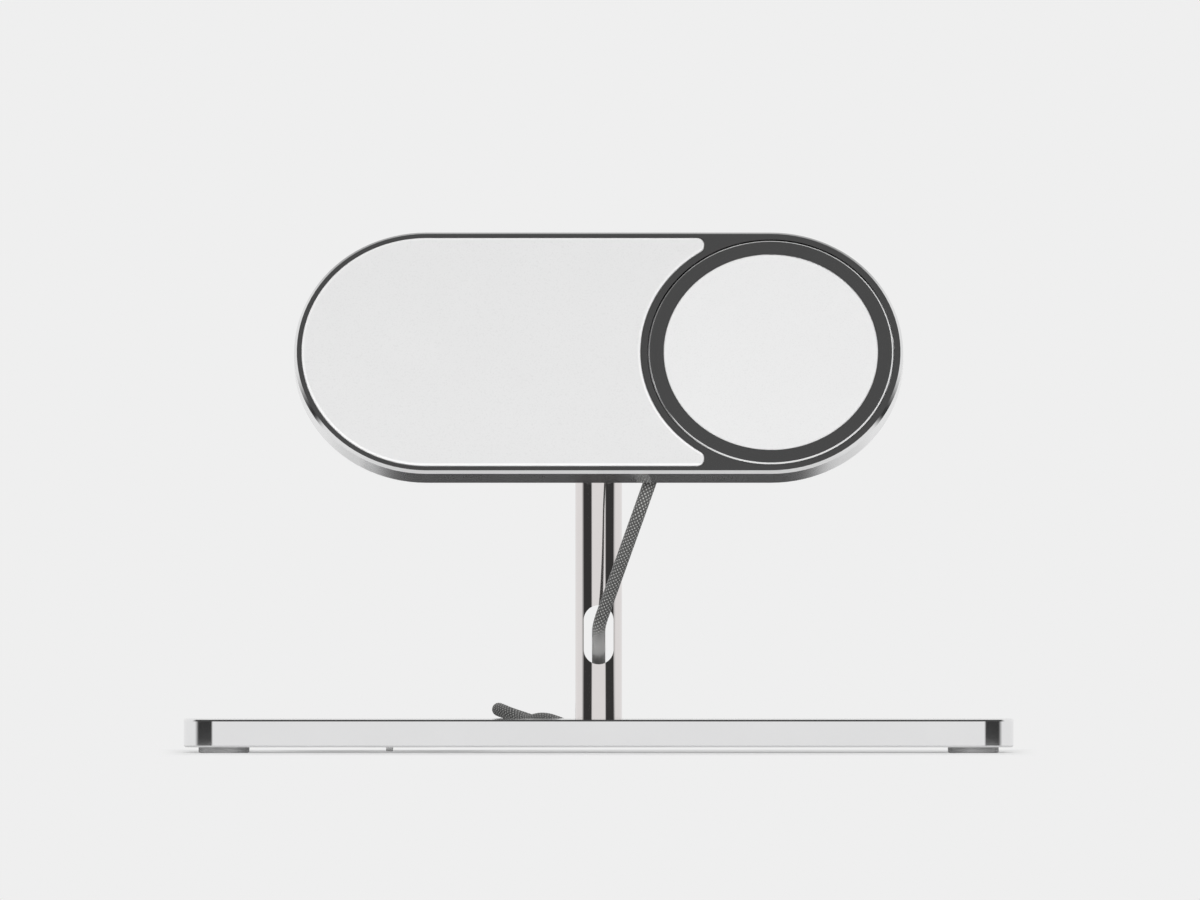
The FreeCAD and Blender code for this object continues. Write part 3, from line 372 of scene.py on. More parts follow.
@dataclass(frozen=True)
class BevelHighlightMetal(PolishedMetal):
    """Polished metal of the round charger's ring, with a painted highlight on its outer bevel, painted
    fainter on its left.
    """

    # Where the painted bevel highlight lies, how faint it is on the left, and its grey
    bevel: Pair = (27.66 * MM, 27.7 * MM)
    bevel_depth: Pair = (0.3 * MM, 0.34 * MM)
    left_side: Pair = (-24 * MM, -8 * MM)
    left_highlight_share: float = 0.2
    bright: float = 0.95

    def paint(self, graph: Graph) -> Dict[str, Wire]:
        """The polished metal's paint with the painted bevel highlight laid over it.

        Args:
            graph: the material's nodes.

        Returns:
            Roughness, colour and metallic.
        """
        painted = super().paint(graph)
        across, up, out = graph.parts(graph.place(PUCK_MIDDLE, (LEAN, 0, 0)))
        # Painted highlight: the outer bevel turns pale non-metal grey, fainter on the left side
        bevel_highlight = (across * across + up * up).root().step(*self.bevel) * (1 - abs(out).step(*self.bevel_depth))
        share = bevel_highlight * (across.step(*self.left_side) * (1 - self.left_highlight_share) + self.left_highlight_share)
        painted["Base Color"] = graph.colours(share, painted["Base Color"], grey(self.bright))
        painted["Metallic"] = (1 - share) * self.metallic
        return painted


@dataclass(frozen=True)
class BrushedMetal(Finish):
    """Metal with fine lines along one direction of a leaning frame."""

    lean: float = 0.0
    lines_per_metre: float = 5200.0
    depth: float = 0.004 * MM
    line_scale: Point = (0.012, 1, 1)
    line_levels: Pair = (0.3, 0.75)
    line_gloss: float = 0.16
    groove_tone: float = 0.86
    cloud_per_metre: float = 60.0
    cloud_gloss: float = 0.1

    def paint(self, graph: Graph) -> Dict[str, Wire]:
        """Lines in the gloss, the colour and the surface.

        Args:
            graph: the material's nodes.

        Returns:
            Roughness, colour and normal.
        """
        lined = graph.place(turn=(self.lean, 0, 0), scale=self.line_scale)
        lines = graph.noise(lined, self.lines_per_metre, 2.0, 0.6)
        cloud = graph.noise(graph.place(), self.cloud_per_metre, 3.0)
        gloss = (lines - HALF) * self.line_gloss + (cloud - HALF) * self.cloud_gloss + self.roughness
        tone = graph.colours(lines.step(*self.line_levels), self.shade(self.groove_tone), self.colour)
        return {"Roughness": gloss, "Base Color": tone, "Normal": graph.bump(lines, self.depth, 0.6)}


@dataclass(frozen=True)
class FinePlastic(Finish):
    """Moulded plastic with a fine spark grain and faint clouding."""

    grain_per_metre: float = 2600.0
    grain_depth: float = 0.012 * MM
    clouding: float = 0.012
    cloud_per_metre: float = 70.0
    cloud_gloss: float = 0.06
    grain_gloss: float = 0.08
    pit_levels: Pair = (0.28, 0.5)
    pit_tone: float = 0.95

    def paint(self, graph: Graph) -> Dict[str, Wire]:
        """Grain in the surface, clouds in the colour and the gloss.

        Args:
            graph: the material's nodes.

        Returns:
            Colour, roughness and normal.
        """
        here = graph.place()
        grain = graph.noise(here, self.grain_per_metre, 2.0, 0.55)
        cloud = graph.noise(here, self.cloud_per_metre, 3.0, 0.6)
        clouds = graph.colours(cloud, self.shade(1 - self.clouding), self.shade(1 + self.clouding))
        tone = graph.colours(grain.step(*self.pit_levels), self.shade(self.pit_tone), clouds)
        gloss = (cloud - HALF) * self.cloud_gloss + (grain - HALF) * self.grain_gloss + self.roughness
        return {"Base Color": tone, "Roughness": gloss, "Normal": graph.bump(grain, self.grain_depth, 0.5)}


@dataclass(frozen=True)
class InlayPlastic(FinePlastic):
    """Fine plastic of the inlay with a painted highlight: a whiter band inside its edge, strongest along its
    lower side.
    """

    # Where the painted edge highlight lies, how much of it shows on the upper side, and its white
    radius: float = 28.5 * MM
    cove: float = 29.8 * MM
    edge: Pair = (0.3 * MM, 0.75 * MM)
    lower_side: Pair = (-10 * MM, 20 * MM)
    upper_highlight_share: float = 0.4
    white: float = 0.98

    def paint(self, graph: Graph) -> Dict[str, Wire]:
        """The fine plastic's paint with the painted edge highlight laid over its colour.

        Args:
            graph: the material's nodes.

        Returns:
            Colour, roughness and normal.
        """
        painted = super().paint(graph)
        across, up, _ = graph.parts(graph.place(FACE_MIDDLE, (LEAN, 0, 0)))
        past_arc = (0 - across - HEAD_SPAN).most(0.0)
        from_puck = across - HEAD_SPAN
        outline = self.radius - (past_arc * past_arc + up * up).root()
        round_puck = (from_puck * from_puck + up * up).root() - self.cove
        # Painted highlight: a whiter band inside the inlay's outline, strongest along its lower side
        edge_highlight = 1 - outline.least(round_puck).step(*self.edge)
        low = (0 - up).step(*self.lower_side)
        share = edge_highlight * (low * (1 - self.upper_highlight_share) + self.upper_highlight_share)
        painted["Base Color"] = graph.colours(share, painted["Base Color"], grey(self.white))
        return painted


@dataclass(frozen=True)
class Rubber(Finish):
    """Matt rubber with a dusty bloom."""

    grain_per_metre: float = 1800.0
    grain_gloss: float = 0.12
    grain_depth: float = 0.02 * MM
    bloom_per_metre: float = 160.0
    bloom_levels: Pair = (0.35, 0.75)
    bloom_tone: float = 1.35

    def paint(self, graph: Graph) -> Dict[str, Wire]:
        """Bloom in the colour, grain in the surface.

        Args:
            graph: the material's nodes.

        Returns:
            Colour, roughness and normal.
        """
        here = graph.place()
        grain = graph.noise(here, self.grain_per_metre, 3.0, 0.6)
        bloom = graph.noise(here, self.bloom_per_metre, 3.0)
        tone = graph.colours(bloom.step(*self.bloom_levels), self.colour, self.shade(self.bloom_tone))
        gloss = (grain - HALF) * self.grain_gloss + self.roughness
        return {"Base Color": tone, "Roughness": gloss, "Normal": graph.bump(grain, self.grain_depth, 0.5)}


@dataclass(frozen=True)
class Winding(Finish):
    """Wound wire: fine rings about a coil's own axis."""

    centre: Point = FACE_MIDDLE
    pitch: float = 0.85 * MM
    wire_levels: Pair = (0.05, 0.6)
    wire_depth: float = 0.2 * MM
    gap_tone: float = 0.42
    fibre_per_metre: float = 1500.0
    fibre_gloss: float = 0.2

    def paint(self, graph: Graph) -> Dict[str, Wire]:
        """Rings in the colour and the surface.

        Args:
            graph: the material's nodes.

        Returns:
            Colour, roughness and normal.
        """
        across, up, _ = graph.parts(graph.place(self.centre, (LEAN, 0, 0)))
        radius = (across * across + up * up).root()
        ring = (radius * (TURN / self.pitch)).cosine() * HALF + HALF
        fibre = graph.noise(graph.place(), self.fibre_per_metre, 2.0)
        tone = graph.colours(ring.step(*self.wire_levels), self.shade(self.gap_tone), self.colour)
        gloss = (fibre - HALF) * self.fibre_gloss + self.roughness
        return {"Base Color": tone, "Roughness": gloss, "Normal": graph.bump(ring, self.wire_depth, 0.7)}


@dataclass(frozen=True)
class Speckled(Finish):
    """A dull sintered or etched surface with two tones of speckle."""

    second: Colour = (0.1, 0.1, 0.1)
    specks_per_metre: float = 900.0
    speck_levels: Pair = (0.42, 0.62)
    speck_gloss: float = 0.2
    speck_depth: float = 0.02 * MM

    def paint(self, graph: Graph) -> Dict[str, Wire]:
        """Speckle in the colour, the gloss and the surface.

        Args:
            graph: the material's nodes.

        Returns:
            Colour, roughness and normal.
        """
        specks = graph.noise(graph.place(), self.specks_per_metre, 3.0, 0.65)
        tone = graph.colours(specks.step(*self.speck_levels), self.colour, self.second)
        gloss = (specks - HALF) * self.speck_gloss + self.roughness
        return {"Base Color": tone, "Roughness": gloss, "Normal": graph.bump(specks, self.speck_depth, 0.4)}


@dataclass(frozen=True)
class Braid(Finish):
    """A woven sleeve: pale crossings on darker yarn, laid out by the cord's own coordinates."""

    crossing: Colour = (0.5, 0.5, 0.5)
    strands: int = 10
    pitch: float = 1.0 * MM
    crossing_levels: Pair = (0.2, 0.85)
    crossing_share: float = 0.95
    crossing_rise: float = 0.4
    yarns: int = 4
    yarn_rise: float = 0.08
    fluff_per_metre: float = 2400.0
    fluff_share: float = 0.35
    fluff_rise: float = 0.25
    depth: float = 0.12 * MM

    def paint(self, graph: Graph) -> Dict[str, Wire]:
        """Crossings in the colour, yarn in the surface.

        Args:
            graph: the material's nodes.

        Returns:
            Colour and normal.
        """
        around, along, _ = graph.parts(graph.out("ShaderNodeTexCoord", output="UV"))
        weave = (around * (TURN * self.strands)).cosine() * (along * (TURN / self.pitch)).cosine()
        yarn = (around * (TURN * self.strands * self.yarns) + along * (TURN / self.pitch * 2)).cosine()
        fluff = graph.noise(graph.place(), self.fluff_per_metre, 2.0)
        share = weave.step(*self.crossing_levels) * self.crossing_share + (fluff - HALF) * self.fluff_share
        relief = weave * self.crossing_rise + yarn * self.yarn_rise + (fluff - HALF) * self.fluff_rise
        tone = graph.colours(share, self.colour, self.crossing)
        return {"Base Color": tone, "Normal": graph.bump(relief + HALF, self.depth, 0.8)}

    def constants(self) -> Dict[str, float]:
        """Yarn has a soft sheen."""
        return {"Sheen Weight": 0.25, "Sheen Roughness": 0.5, "Specular IOR Level": 0.3}


@dataclass(frozen=True)
class Webbing(Finish):
    """A woven tie: slanting ribs and a nap of fine loops."""

    rib: float = 0.5 * MM
    rib_rises: Pair = (0.25, 0.2)
    rib_levels: Pair = (0.25, 0.85)
    groove_tone: float = 0.8
    nap_per_metre: float = 3000.0
    nap_rise: float = 0.6
    depth: float = 0.1 * MM

    def paint(self, graph: Graph) -> Dict[str, Wire]:
        """Ribs in the colour and the surface.

        Args:
            graph: the material's nodes.

        Returns:
            Colour and normal.
        """
        across, along, _ = graph.parts(graph.out("ShaderNodeTexCoord", output="UV"))
        slant = ((across + along) * (TURN / self.rib)).cosine()
        cross = ((across - along) * (TURN / self.rib)).cosine()
        nap = graph.noise(graph.place(), self.nap_per_metre, 3.0, 0.7)
        rise, cross_rise = self.rib_rises
        height = slant * rise + cross * cross_rise + (nap - HALF) * self.nap_rise + HALF
        tone = graph.colours(height.step(*self.rib_levels), self.shade(self.groove_tone), self.colour)
        return {"Base Color": tone, "Normal": graph.bump(height, self.depth, 0.8)}

    def constants(self) -> Dict[str, float]:
        """Loops catch the light at the edge."""
        return {"Sheen Weight": 0.4, "Sheen Roughness": 0.4, "Specular IOR Level": 0.2}


COPPER = (0.72, 0.33, 0.18)
ALUMINIUM = (0.84, 0.84, 0.842)
SCREW_STEEL = BrushedMetal("screw_steel", (0.5, 0.5, 0.51), 0.26, 1.0, LEAN, 3800.0)
NICKEL = PolishedMetal("magnet_nickel", (0.66, 0.63, 0.57), 0.2, 1.0)
FERRITE = Speckled("ferrite", grey(0.03), 0.7, 0.0, grey(0.06))
GREY_RUBBER = Rubber("grey_rubber", grey(0.16), 0.6)


def dress(nodes: Sequence[str], finish: Finish) -> None:
    """Put a finish on CAD nodes.

    Args:
        nodes: their names.
        finish: what they wear.
    """
    for node in nodes:
        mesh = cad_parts[node].data
        mesh.materials.clear()
        mesh.materials.append(finish.material())
        LOG.info("%s wears %s", node, finish.name)


@dataclass(frozen=True)
class Lamp:
    """A soft square lamp that points at the head and that metal doesn't mirror."""

    name: str
    place: Point
    size: float
    watts: float
    aim: Point = (0.0, 0.0, 0.07)
    spread: float = math.pi

    def build(self) -> None:
        """Hang the lamp."""
        data = bpy.data.lights.new(self.name, "AREA")
        data.shape = "SQUARE"
        data.size = self.size
        data.energy = self.watts
        data.spread = self.spread
        lamp = bpy.data.objects.new(self.name, data)
        bpy.context.scene.collection.objects.link(lamp)
        lamp.location = self.place
        direction = Vector(self.aim) - Vector(self.place)
        lamp.rotation_euler = direction.to_track_quat("-Z", "Y").to_euler()
        lamp.visible_glossy = False
        lamp.visible_camera = False
        LOG.info("%s hangs at %s", self.name, self.place)


@dataclass
class Studio:
    """Camera, pale floor, a bright horizon with dark flags and ceiling for the metal, and soft lamps."""

    image: Tuple[int, int] = (1200, 900)
    metres_per_pixel: float = 0.2282 * MM
    middle: Pair = (0.31 * MM, 69.0 * MM)
    camera_height: float = math.radians(0.2)
    camera_distance: float = 1.2
    backdrop: float = 0.863
    dome: float = 0.3
    ceiling: float = 0.079
    flag: float = 0.042
    ceiling_rise: Pair = (math.radians(36), math.radians(46.5))
    flag_span: Pair = (math.radians(34.5), math.radians(80))
    flag_foot: Pair = (math.radians(-11), math.radians(-4))
    flag_soft: float = math.radians(3.5)
    flag_far_soft: float = math.radians(14)
    floor_radius: float = 0.34
    floor_sides: int = 96
    floor_fade: Pair = (0.11, 0.24)
    floor_ends: Pair = (0.089, 0.101)
    level_slopes: Pair = (0.01, 0.06)
    floor_colour: float = 0.92
    mottle_tone: float = 0.995
    mottle_per_metre: float = 40.0
    floor_lift: float = 0.28
    lamps: Tuple[Lamp, ...] = (
        Lamp("key_lamp", (-0.1, -1.15, 0.5), 0.9, 9.8),
        Lamp("fill_lamp", (0.75, -0.7, 0.65), 0.8, 1.5),
        Lamp("back_lamp", (0.1, 0.75, 0.95), 0.9, 4.0),
        Lamp("plate_bounce", (0.0, -0.034, 0.0155), 0.01, 0.00075, (0.0, 0.0, 0.0225), math.radians(30)),
    )

    def build(self) -> None:
        """Set the view, then make the camera, world, floor and lamps."""
        bpy.context.scene.view_settings.view_transform = "Standard"
        self.make_camera()
        self.make_world()
        self.make_floor()
        for lamp in self.lamps:
            lamp.build()

    def make_camera(self) -> None:
        """A level view without perspective, at the photograph's scale."""
        data = bpy.data.cameras.new("camera")
        data.type = "ORTHO"
        data.ortho_scale = self.image[0] * self.metres_per_pixel
        camera = bpy.data.objects.new("camera", data)
        bpy.context.scene.collection.objects.link(camera)
        across, up = self.middle
        rise = math.sin(self.camera_height) * self.camera_distance
        camera.location = (across, -self.camera_distance, up + rise)
        camera.rotation_euler = (math.pi / 2 - self.camera_height, 0, 0)
        bpy.context.scene.camera = camera

    def make_world(self) -> None:
        """An even dome for matt surfaces; for metal, a backdrop with two dark flags and a dark ceiling."""
        world = bpy.data.worlds.new("studio")
        world.use_nodes = True
        bpy.context.scene.world = world
        graph = Graph(world.node_tree)
        across, back, up = graph.parts(graph.out("ShaderNodeTexCoord", output="Generated"))
        rise = graph.math(Maths.ARCSINE, up)
        bearing = abs(graph.math(Maths.ARCTANGENT, across, 0 - back))
        low, high = self.flag_span
        soft = self.flag_soft
        near = bearing.step(low - soft, low + soft)
        sides = near * (1 - bearing.step(high - soft, high + self.flag_far_soft))
        flags = sides * rise.step(*self.flag_foot)
        walls = graph.colours(flags, grey(self.backdrop), grey(self.flag))
        room = graph.colours(rise.step(*self.ceiling_rise), walls, grey(self.ceiling))
        seen, mirrored = graph.rays()
        lit = graph.colours(mirrored, grey(self.dome), room)
        shown = graph.colours(seen, lit, grey(self.backdrop))
        light = graph.out("ShaderNodeBackground", None, {"Color": shown, "Strength": 1.0})
        graph.node("ShaderNodeOutputWorld", None, {"Surface": light})

    def make_floor(self) -> None:
        """A round pale floor that fades into the backdrop, beside the base sooner where the view is level."""
        count = self.floor_sides
        radius = self.floor_radius
        angles = [TURN * index / count for index in range(count)]
        ring = [(radius * math.cos(angle), radius * math.sin(angle), 0) for angle in angles]
        mesh = bpy.data.meshes.new("floor")
        mesh.from_pydata(ring, [], [list(range(count))])
        floor = bpy.data.objects.new("floor", mesh)
        bpy.context.scene.collection.objects.link(floor)
        material = bpy.data.materials.new("floor")
        material.use_nodes = True
        graph = Graph(material.node_tree)
        across, back, _ = graph.parts(graph.place())
        far = (across * across + back * back).root().step(*self.floor_fade)
        _, _, slope = graph.parts(graph.out("ShaderNodeNewGeometry", output="Incoming"))
        level_view = 1 - abs(slope).step(*self.level_slopes)
        far = far.most(abs(across).step(*self.floor_ends) * level_view)
        mottle = graph.noise(graph.place(), self.mottle_per_metre, 2.0)
        tone = graph.colours(mottle, grey(self.floor_colour * self.mottle_tone), grey(self.floor_colour))
        lit = graph.out("ShaderNodeBsdfDiffuse", None, {"Color": tone})
        plain = graph.out("ShaderNodeEmission", None, {"Color": (*grey(self.backdrop), 1.0), "Strength": 1.0})
        seen, mirrored = graph.rays()
        share = (far * (1 - self.floor_lift) + self.floor_lift) * (seen + mirrored).least(1.0)
        surface = graph.out("ShaderNodeMixShader", None, {0: share, 1: lit, 2: plain})
        graph.node("ShaderNodeOutputMaterial", None, {"Surface": surface})
        mesh.materials.append(material)


@dataclass
class Base:
    """The heavy polished plate on its rubber feet, with the screw that holds the post."""

    polish: Finish = PolishedMetal("polished_steel", (0.86, 0.86, 0.865), 0.05, 1.0)
    rubber: Finish = Rubber("foot_rubber", grey(0.48), 0.8)
    feet: Tuple[str, ...] = ("foot_front_left", "foot_front_right", "foot_rear_left", "foot_rear_right")

    def build(self) -> None:
        """Dress the plate, the feet and the screw."""
        dress(["base_plate"], self.polish)
        dress(self.feet, self.rubber)
        dress(["base_screw"], SCREW_STEEL)


@dataclass
class Post:
    """The slotted round post, of a slightly warmer steel than the plate."""

    polish: Finish = PolishedMetal("post_steel", (0.81, 0.775, 0.767), 0.05, 1.0)

    def build(self) -> None:
        """Dress the post."""
        dress(["post"], self.polish)


@dataclass
class TiltHinge:
    """The bracket behind the head, its pin, nut and screws, and the two friction washers."""

    steel: Finish = BrushedMetal("satin_steel", (0.6, 0.6, 0.61), 0.3, 1.0, LEAN)
    bronze: Finish = BrushedMetal("washer_bronze", (0.6, 0.4, 0.2), 0.3, 1.0, 0.0)

    def build(self) -> None:
        """Dress the hinge's nodes."""
        dress(["hinge_bracket"], self.steel)
        dress(["bracket_screws", "hinge_pin", "hinge_nut"], SCREW_STEEL)
        dress(["washer_left", "washer_right"], self.bronze)


@dataclass
class HeadShell:
    """The milled frame, the white inlay and the satin cover with its screws."""

    polish: Finish = PolishedMetal("polished_aluminium", ALUMINIUM, 0.07, 1.0, dull_wall=0.1)
    inlay: Finish = InlayPlastic("panel_white", grey(0.8), 0.55)
    satin: Finish = BrushedMetal("satin_aluminium", (0.74, 0.74, 0.75), 0.34, 1.0, LEAN)

    def build(self) -> None:
        """Dress the shell's nodes."""
        dress(["head_frame"], self.polish)
        dress(["front_panel"], self.inlay)
        dress(["back_cover"], self.satin)
        dress(["cover_screws"], SCREW_STEEL)


@dataclass
class PhoneCharger:
    """The round magnetic charger: ring, white disc, magnets, winding, shield and yoke."""

    ring: Finish = BevelHighlightMetal("ring_aluminium", ALUMINIUM, 0.07, 1.0, dull_wall=0.1)
    face: Finish = FinePlastic("disc_white", grey(0.84), 0.42, 0.0, 3200.0, 0.008 * MM)
    winding: Finish = Winding("puck_winding", COPPER, 0.35, 0.6, PUCK_MIDDLE)

    def build(self) -> None:
        """Dress the round charger's nodes."""
        dress(["puck_ring"], self.ring)
        dress(["puck_disc"], self.face)
        dress(["puck_magnets"], NICKEL)
        dress(["puck_coil"], self.winding)
        dress(["puck_shield"], FERRITE)
        dress(["puck_yoke"], SCREW_STEEL)


@dataclass
class PadCharger:
    """The second charger behind the inlay and the circuit board that feeds both."""

    winding: Finish = Winding("pad_winding", COPPER, 0.35, 0.6, PAD_MIDDLE)
    board: Finish = Speckled("board_green", (0.012, 0.1, 0.035), 0.4, 0.0, (0.02, 0.16, 0.06), 240.0)
    chips: Finish = Speckled("chip_black", grey(0.012), 0.55, 0.0, grey(0.03), 2000.0)

    def build(self) -> None:
        """Dress the pad charger's nodes and the board."""
        dress(["pad_magnets"], NICKEL)
        dress(["pad_coil"], self.winding)
        dress(["pad_shield"], FERRITE)
        dress(["circuit_board"], self.board)
        dress(["board_parts"], self.chips)


@dataclass
class CordEnds:
    """The strain relief on the head's back and the plug at the cord's far end."""

    moulding: Finish = FinePlastic("plug_white", grey(0.82), 0.38, 0.0, 2200.0)
    shell: Finish = BrushedMetal("plug_steel", (0.68, 0.68, 0.69), 0.24, 1.0, 0.0)

    def build(self) -> None:
        """Dress the strain relief and the plug."""
        dress(["cord_gland", "plug_boot"], GREY_RUBBER)
        dress(["plug_body"], self.moulding)
        dress(["plug_shell"], self.shell)


@dataclass
class MeshParts:
    """Vertices, faces and the flat coordinates of the faces' corners, while a mesh is made."""

    vertices: List[Vector]
    faces: List[Tuple[int, ...]]
    corners: List[Pair]

    def build(self, name: str, finish: Finish) -> bpy.types.Object:
        """Make a smooth object and dress it.

        Args:
            name: the object's name.
            finish: what it wears.

        Returns:
            The new object, in the scene.
        """
        mesh = bpy.data.meshes.new(name)
        mesh.from_pydata(self.vertices, [], self.faces)
        layer = mesh.uv_layers.new(name="UVMap")
        layer.data.foreach_set("uv", [number for corner in self.corners for number in corner])
        mesh.polygons.foreach_set("use_smooth", [True] * len(self.faces))
        mesh.materials.append(finish.material())
        mesh.update()
        made = bpy.data.objects.new(name, mesh)
        bpy.context.scene.collection.objects.link(made)
        LOG.info("%s wears %s", name, finish.name)
        return made


@dataclass
class Tie:
    """A narrow woven tie round the coil's turns, closed by a tab that lies on its own end."""

    name: str
    replaced: str
    bearing: float
    fabric: Finish = Webbing("tie_webbing", grey(0.86), 0.9)
    inside: Pair = (7.55 * MM, 26.75 * MM)
    levels: Pair = (0.88 * MM, 6.82 * MM)
    corner: float = 1.6 * MM
    under: float = 0.82 * MM
    over: float = 0.26 * MM
    beside: float = 0.5 * MM
    tab_thickness: float = 0.22 * MM
    width: float = 1.6 * MM
    tab: Pair = (10.0 * MM, 21.0 * MM)
    tab_sink: float = 0.02 * MM
    tab_start: float = 0.25
    tab_slope: float = 4.0
    tab_steps: int = 12
    corner_steps: int = 8
    section: Tuple[Pair, ...] = (
        (-0.97, 0.0),
        (-1.0, 0.5),
        (-0.97, 1.0),
        (0.0, 1.06),
        (0.97, 1.0),
        (1.0, 0.5),
        (0.97, 0.0),
        (0.0, 0.0),
    )

    def loop(self, share: float) -> List[Point]:
        """The tie's outline round the turns' section.

        Args:
            share: 0 for the outline next to the turns, 1 for the one outside.

        Returns:
            Distance from the coil's axis, height and length along the tie, for each point.
        """
        left, right = self.inside[0] - share * self.beside, self.inside[1] + share * self.beside
        low, high = self.levels[0] - share * self.under, self.levels[1] + share * self.over
        radius = self.corner + share * self.beside
        middles = (
            (right - radius, low + radius, -90),
            (right - radius, high - radius, 0),
            (left + radius, high - radius, 90),
            (left + radius, low + radius, 180),
        )
        points: List[Point] = []
        distance = 0.0
        for across, up, start in middles:
            for index in range(self.corner_steps + 1):
                angle = math.radians(start + index * 90 / self.corner_steps)
                here = (across + radius * math.cos(angle), up + radius * math.sin(angle))
                if points:
                    distance += math.dist(here, points[-1][:2])
                points.append((*here, distance))
        return points

    def tab_lines(self) -> Tuple[List[Point], List[Point]]:
        """The tab's underside and its top, which rises from the tie's end.

        Returns:
            Both lines, each point with its distance, height and length.
        """
        top = self.levels[1] + self.over
        steps = self.tab_steps
        start, end = self.tab
        low: List[Point] = []
        high: List[Point] = []
        for index in range(steps + 1):
            across = start + (end - start) * index / steps
            lift = self.tab_thickness * min(1.0, self.tab_start + self.tab_slope * index / steps)
            low.append((across, top - self.tab_sink, across))
            high.append((across, top + lift, across))
        return low, high

    def sweep(self, parts: MeshParts, inner: List[Point], outer: List[Point], closed: bool) -> None:
        """Add a band between two outlines, with rounded selvedges.

        Args:
            parts: the mesh's parts, added to.
            inner: the outline next to the turns.
            outer: the outline outside.
            closed: whether the band runs round and joins itself.
        """
        half = self.width / 2
        count = len(self.section)
        first = len(parts.vertices)
        rows = len(inner)
        for (x0, z0, _), (x1, z1, _) in zip(inner, outer):
            for side, rise in self.section:
                parts.vertices.append(Vector((x0 + (x1 - x0) * rise, side * half, z0 + (z1 - z0) * rise)))
        for row in range(rows if closed else rows - 1):
            after = (row + 1) % rows
            low = inner[row][2]
            high = inner[after][2] if after else low + self.corner
            here, there = first + row * count, first + after * count
            for column in range(count):
                following = (column + 1) % count
                parts.faces.append((here + column, there + column, there + following, here + following))
                left = self.section[column][0] * half
                right = self.section[following][0] * half
                parts.corners += [(left, low), (left, high), (right, high), (right, low)]
        if not closed:
            for row, order in ((0, 1), (rows - 1, -1)):
                cap = tuple(range(first + row * count, first + (row + 1) * count))
                parts.faces.append(cap[::order])
                parts.corners += [(0.0, inner[row][2])] * count

    def build(self) -> bpy.types.Object:
        """Make the tie and put it in its CAD node's place.

        Returns:
            The tie's object.
        """
        parts = MeshParts([], [], [])
        self.sweep(parts, self.loop(0.0), self.loop(1.0), True)
        self.sweep(parts, *self.tab_lines(), False)
        tie = parts.build(self.name, self.fabric)
        turn = Matrix.Rotation(math.radians(self.bearing), 4, "Z")
        across, back = COIL_MIDDLE
        tie.data.transform(Matrix.Translation((across * MM, back * MM, 0)) @ turn)
        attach(tie, Body.STAND.value)
        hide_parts(self.replaced)
        return tie


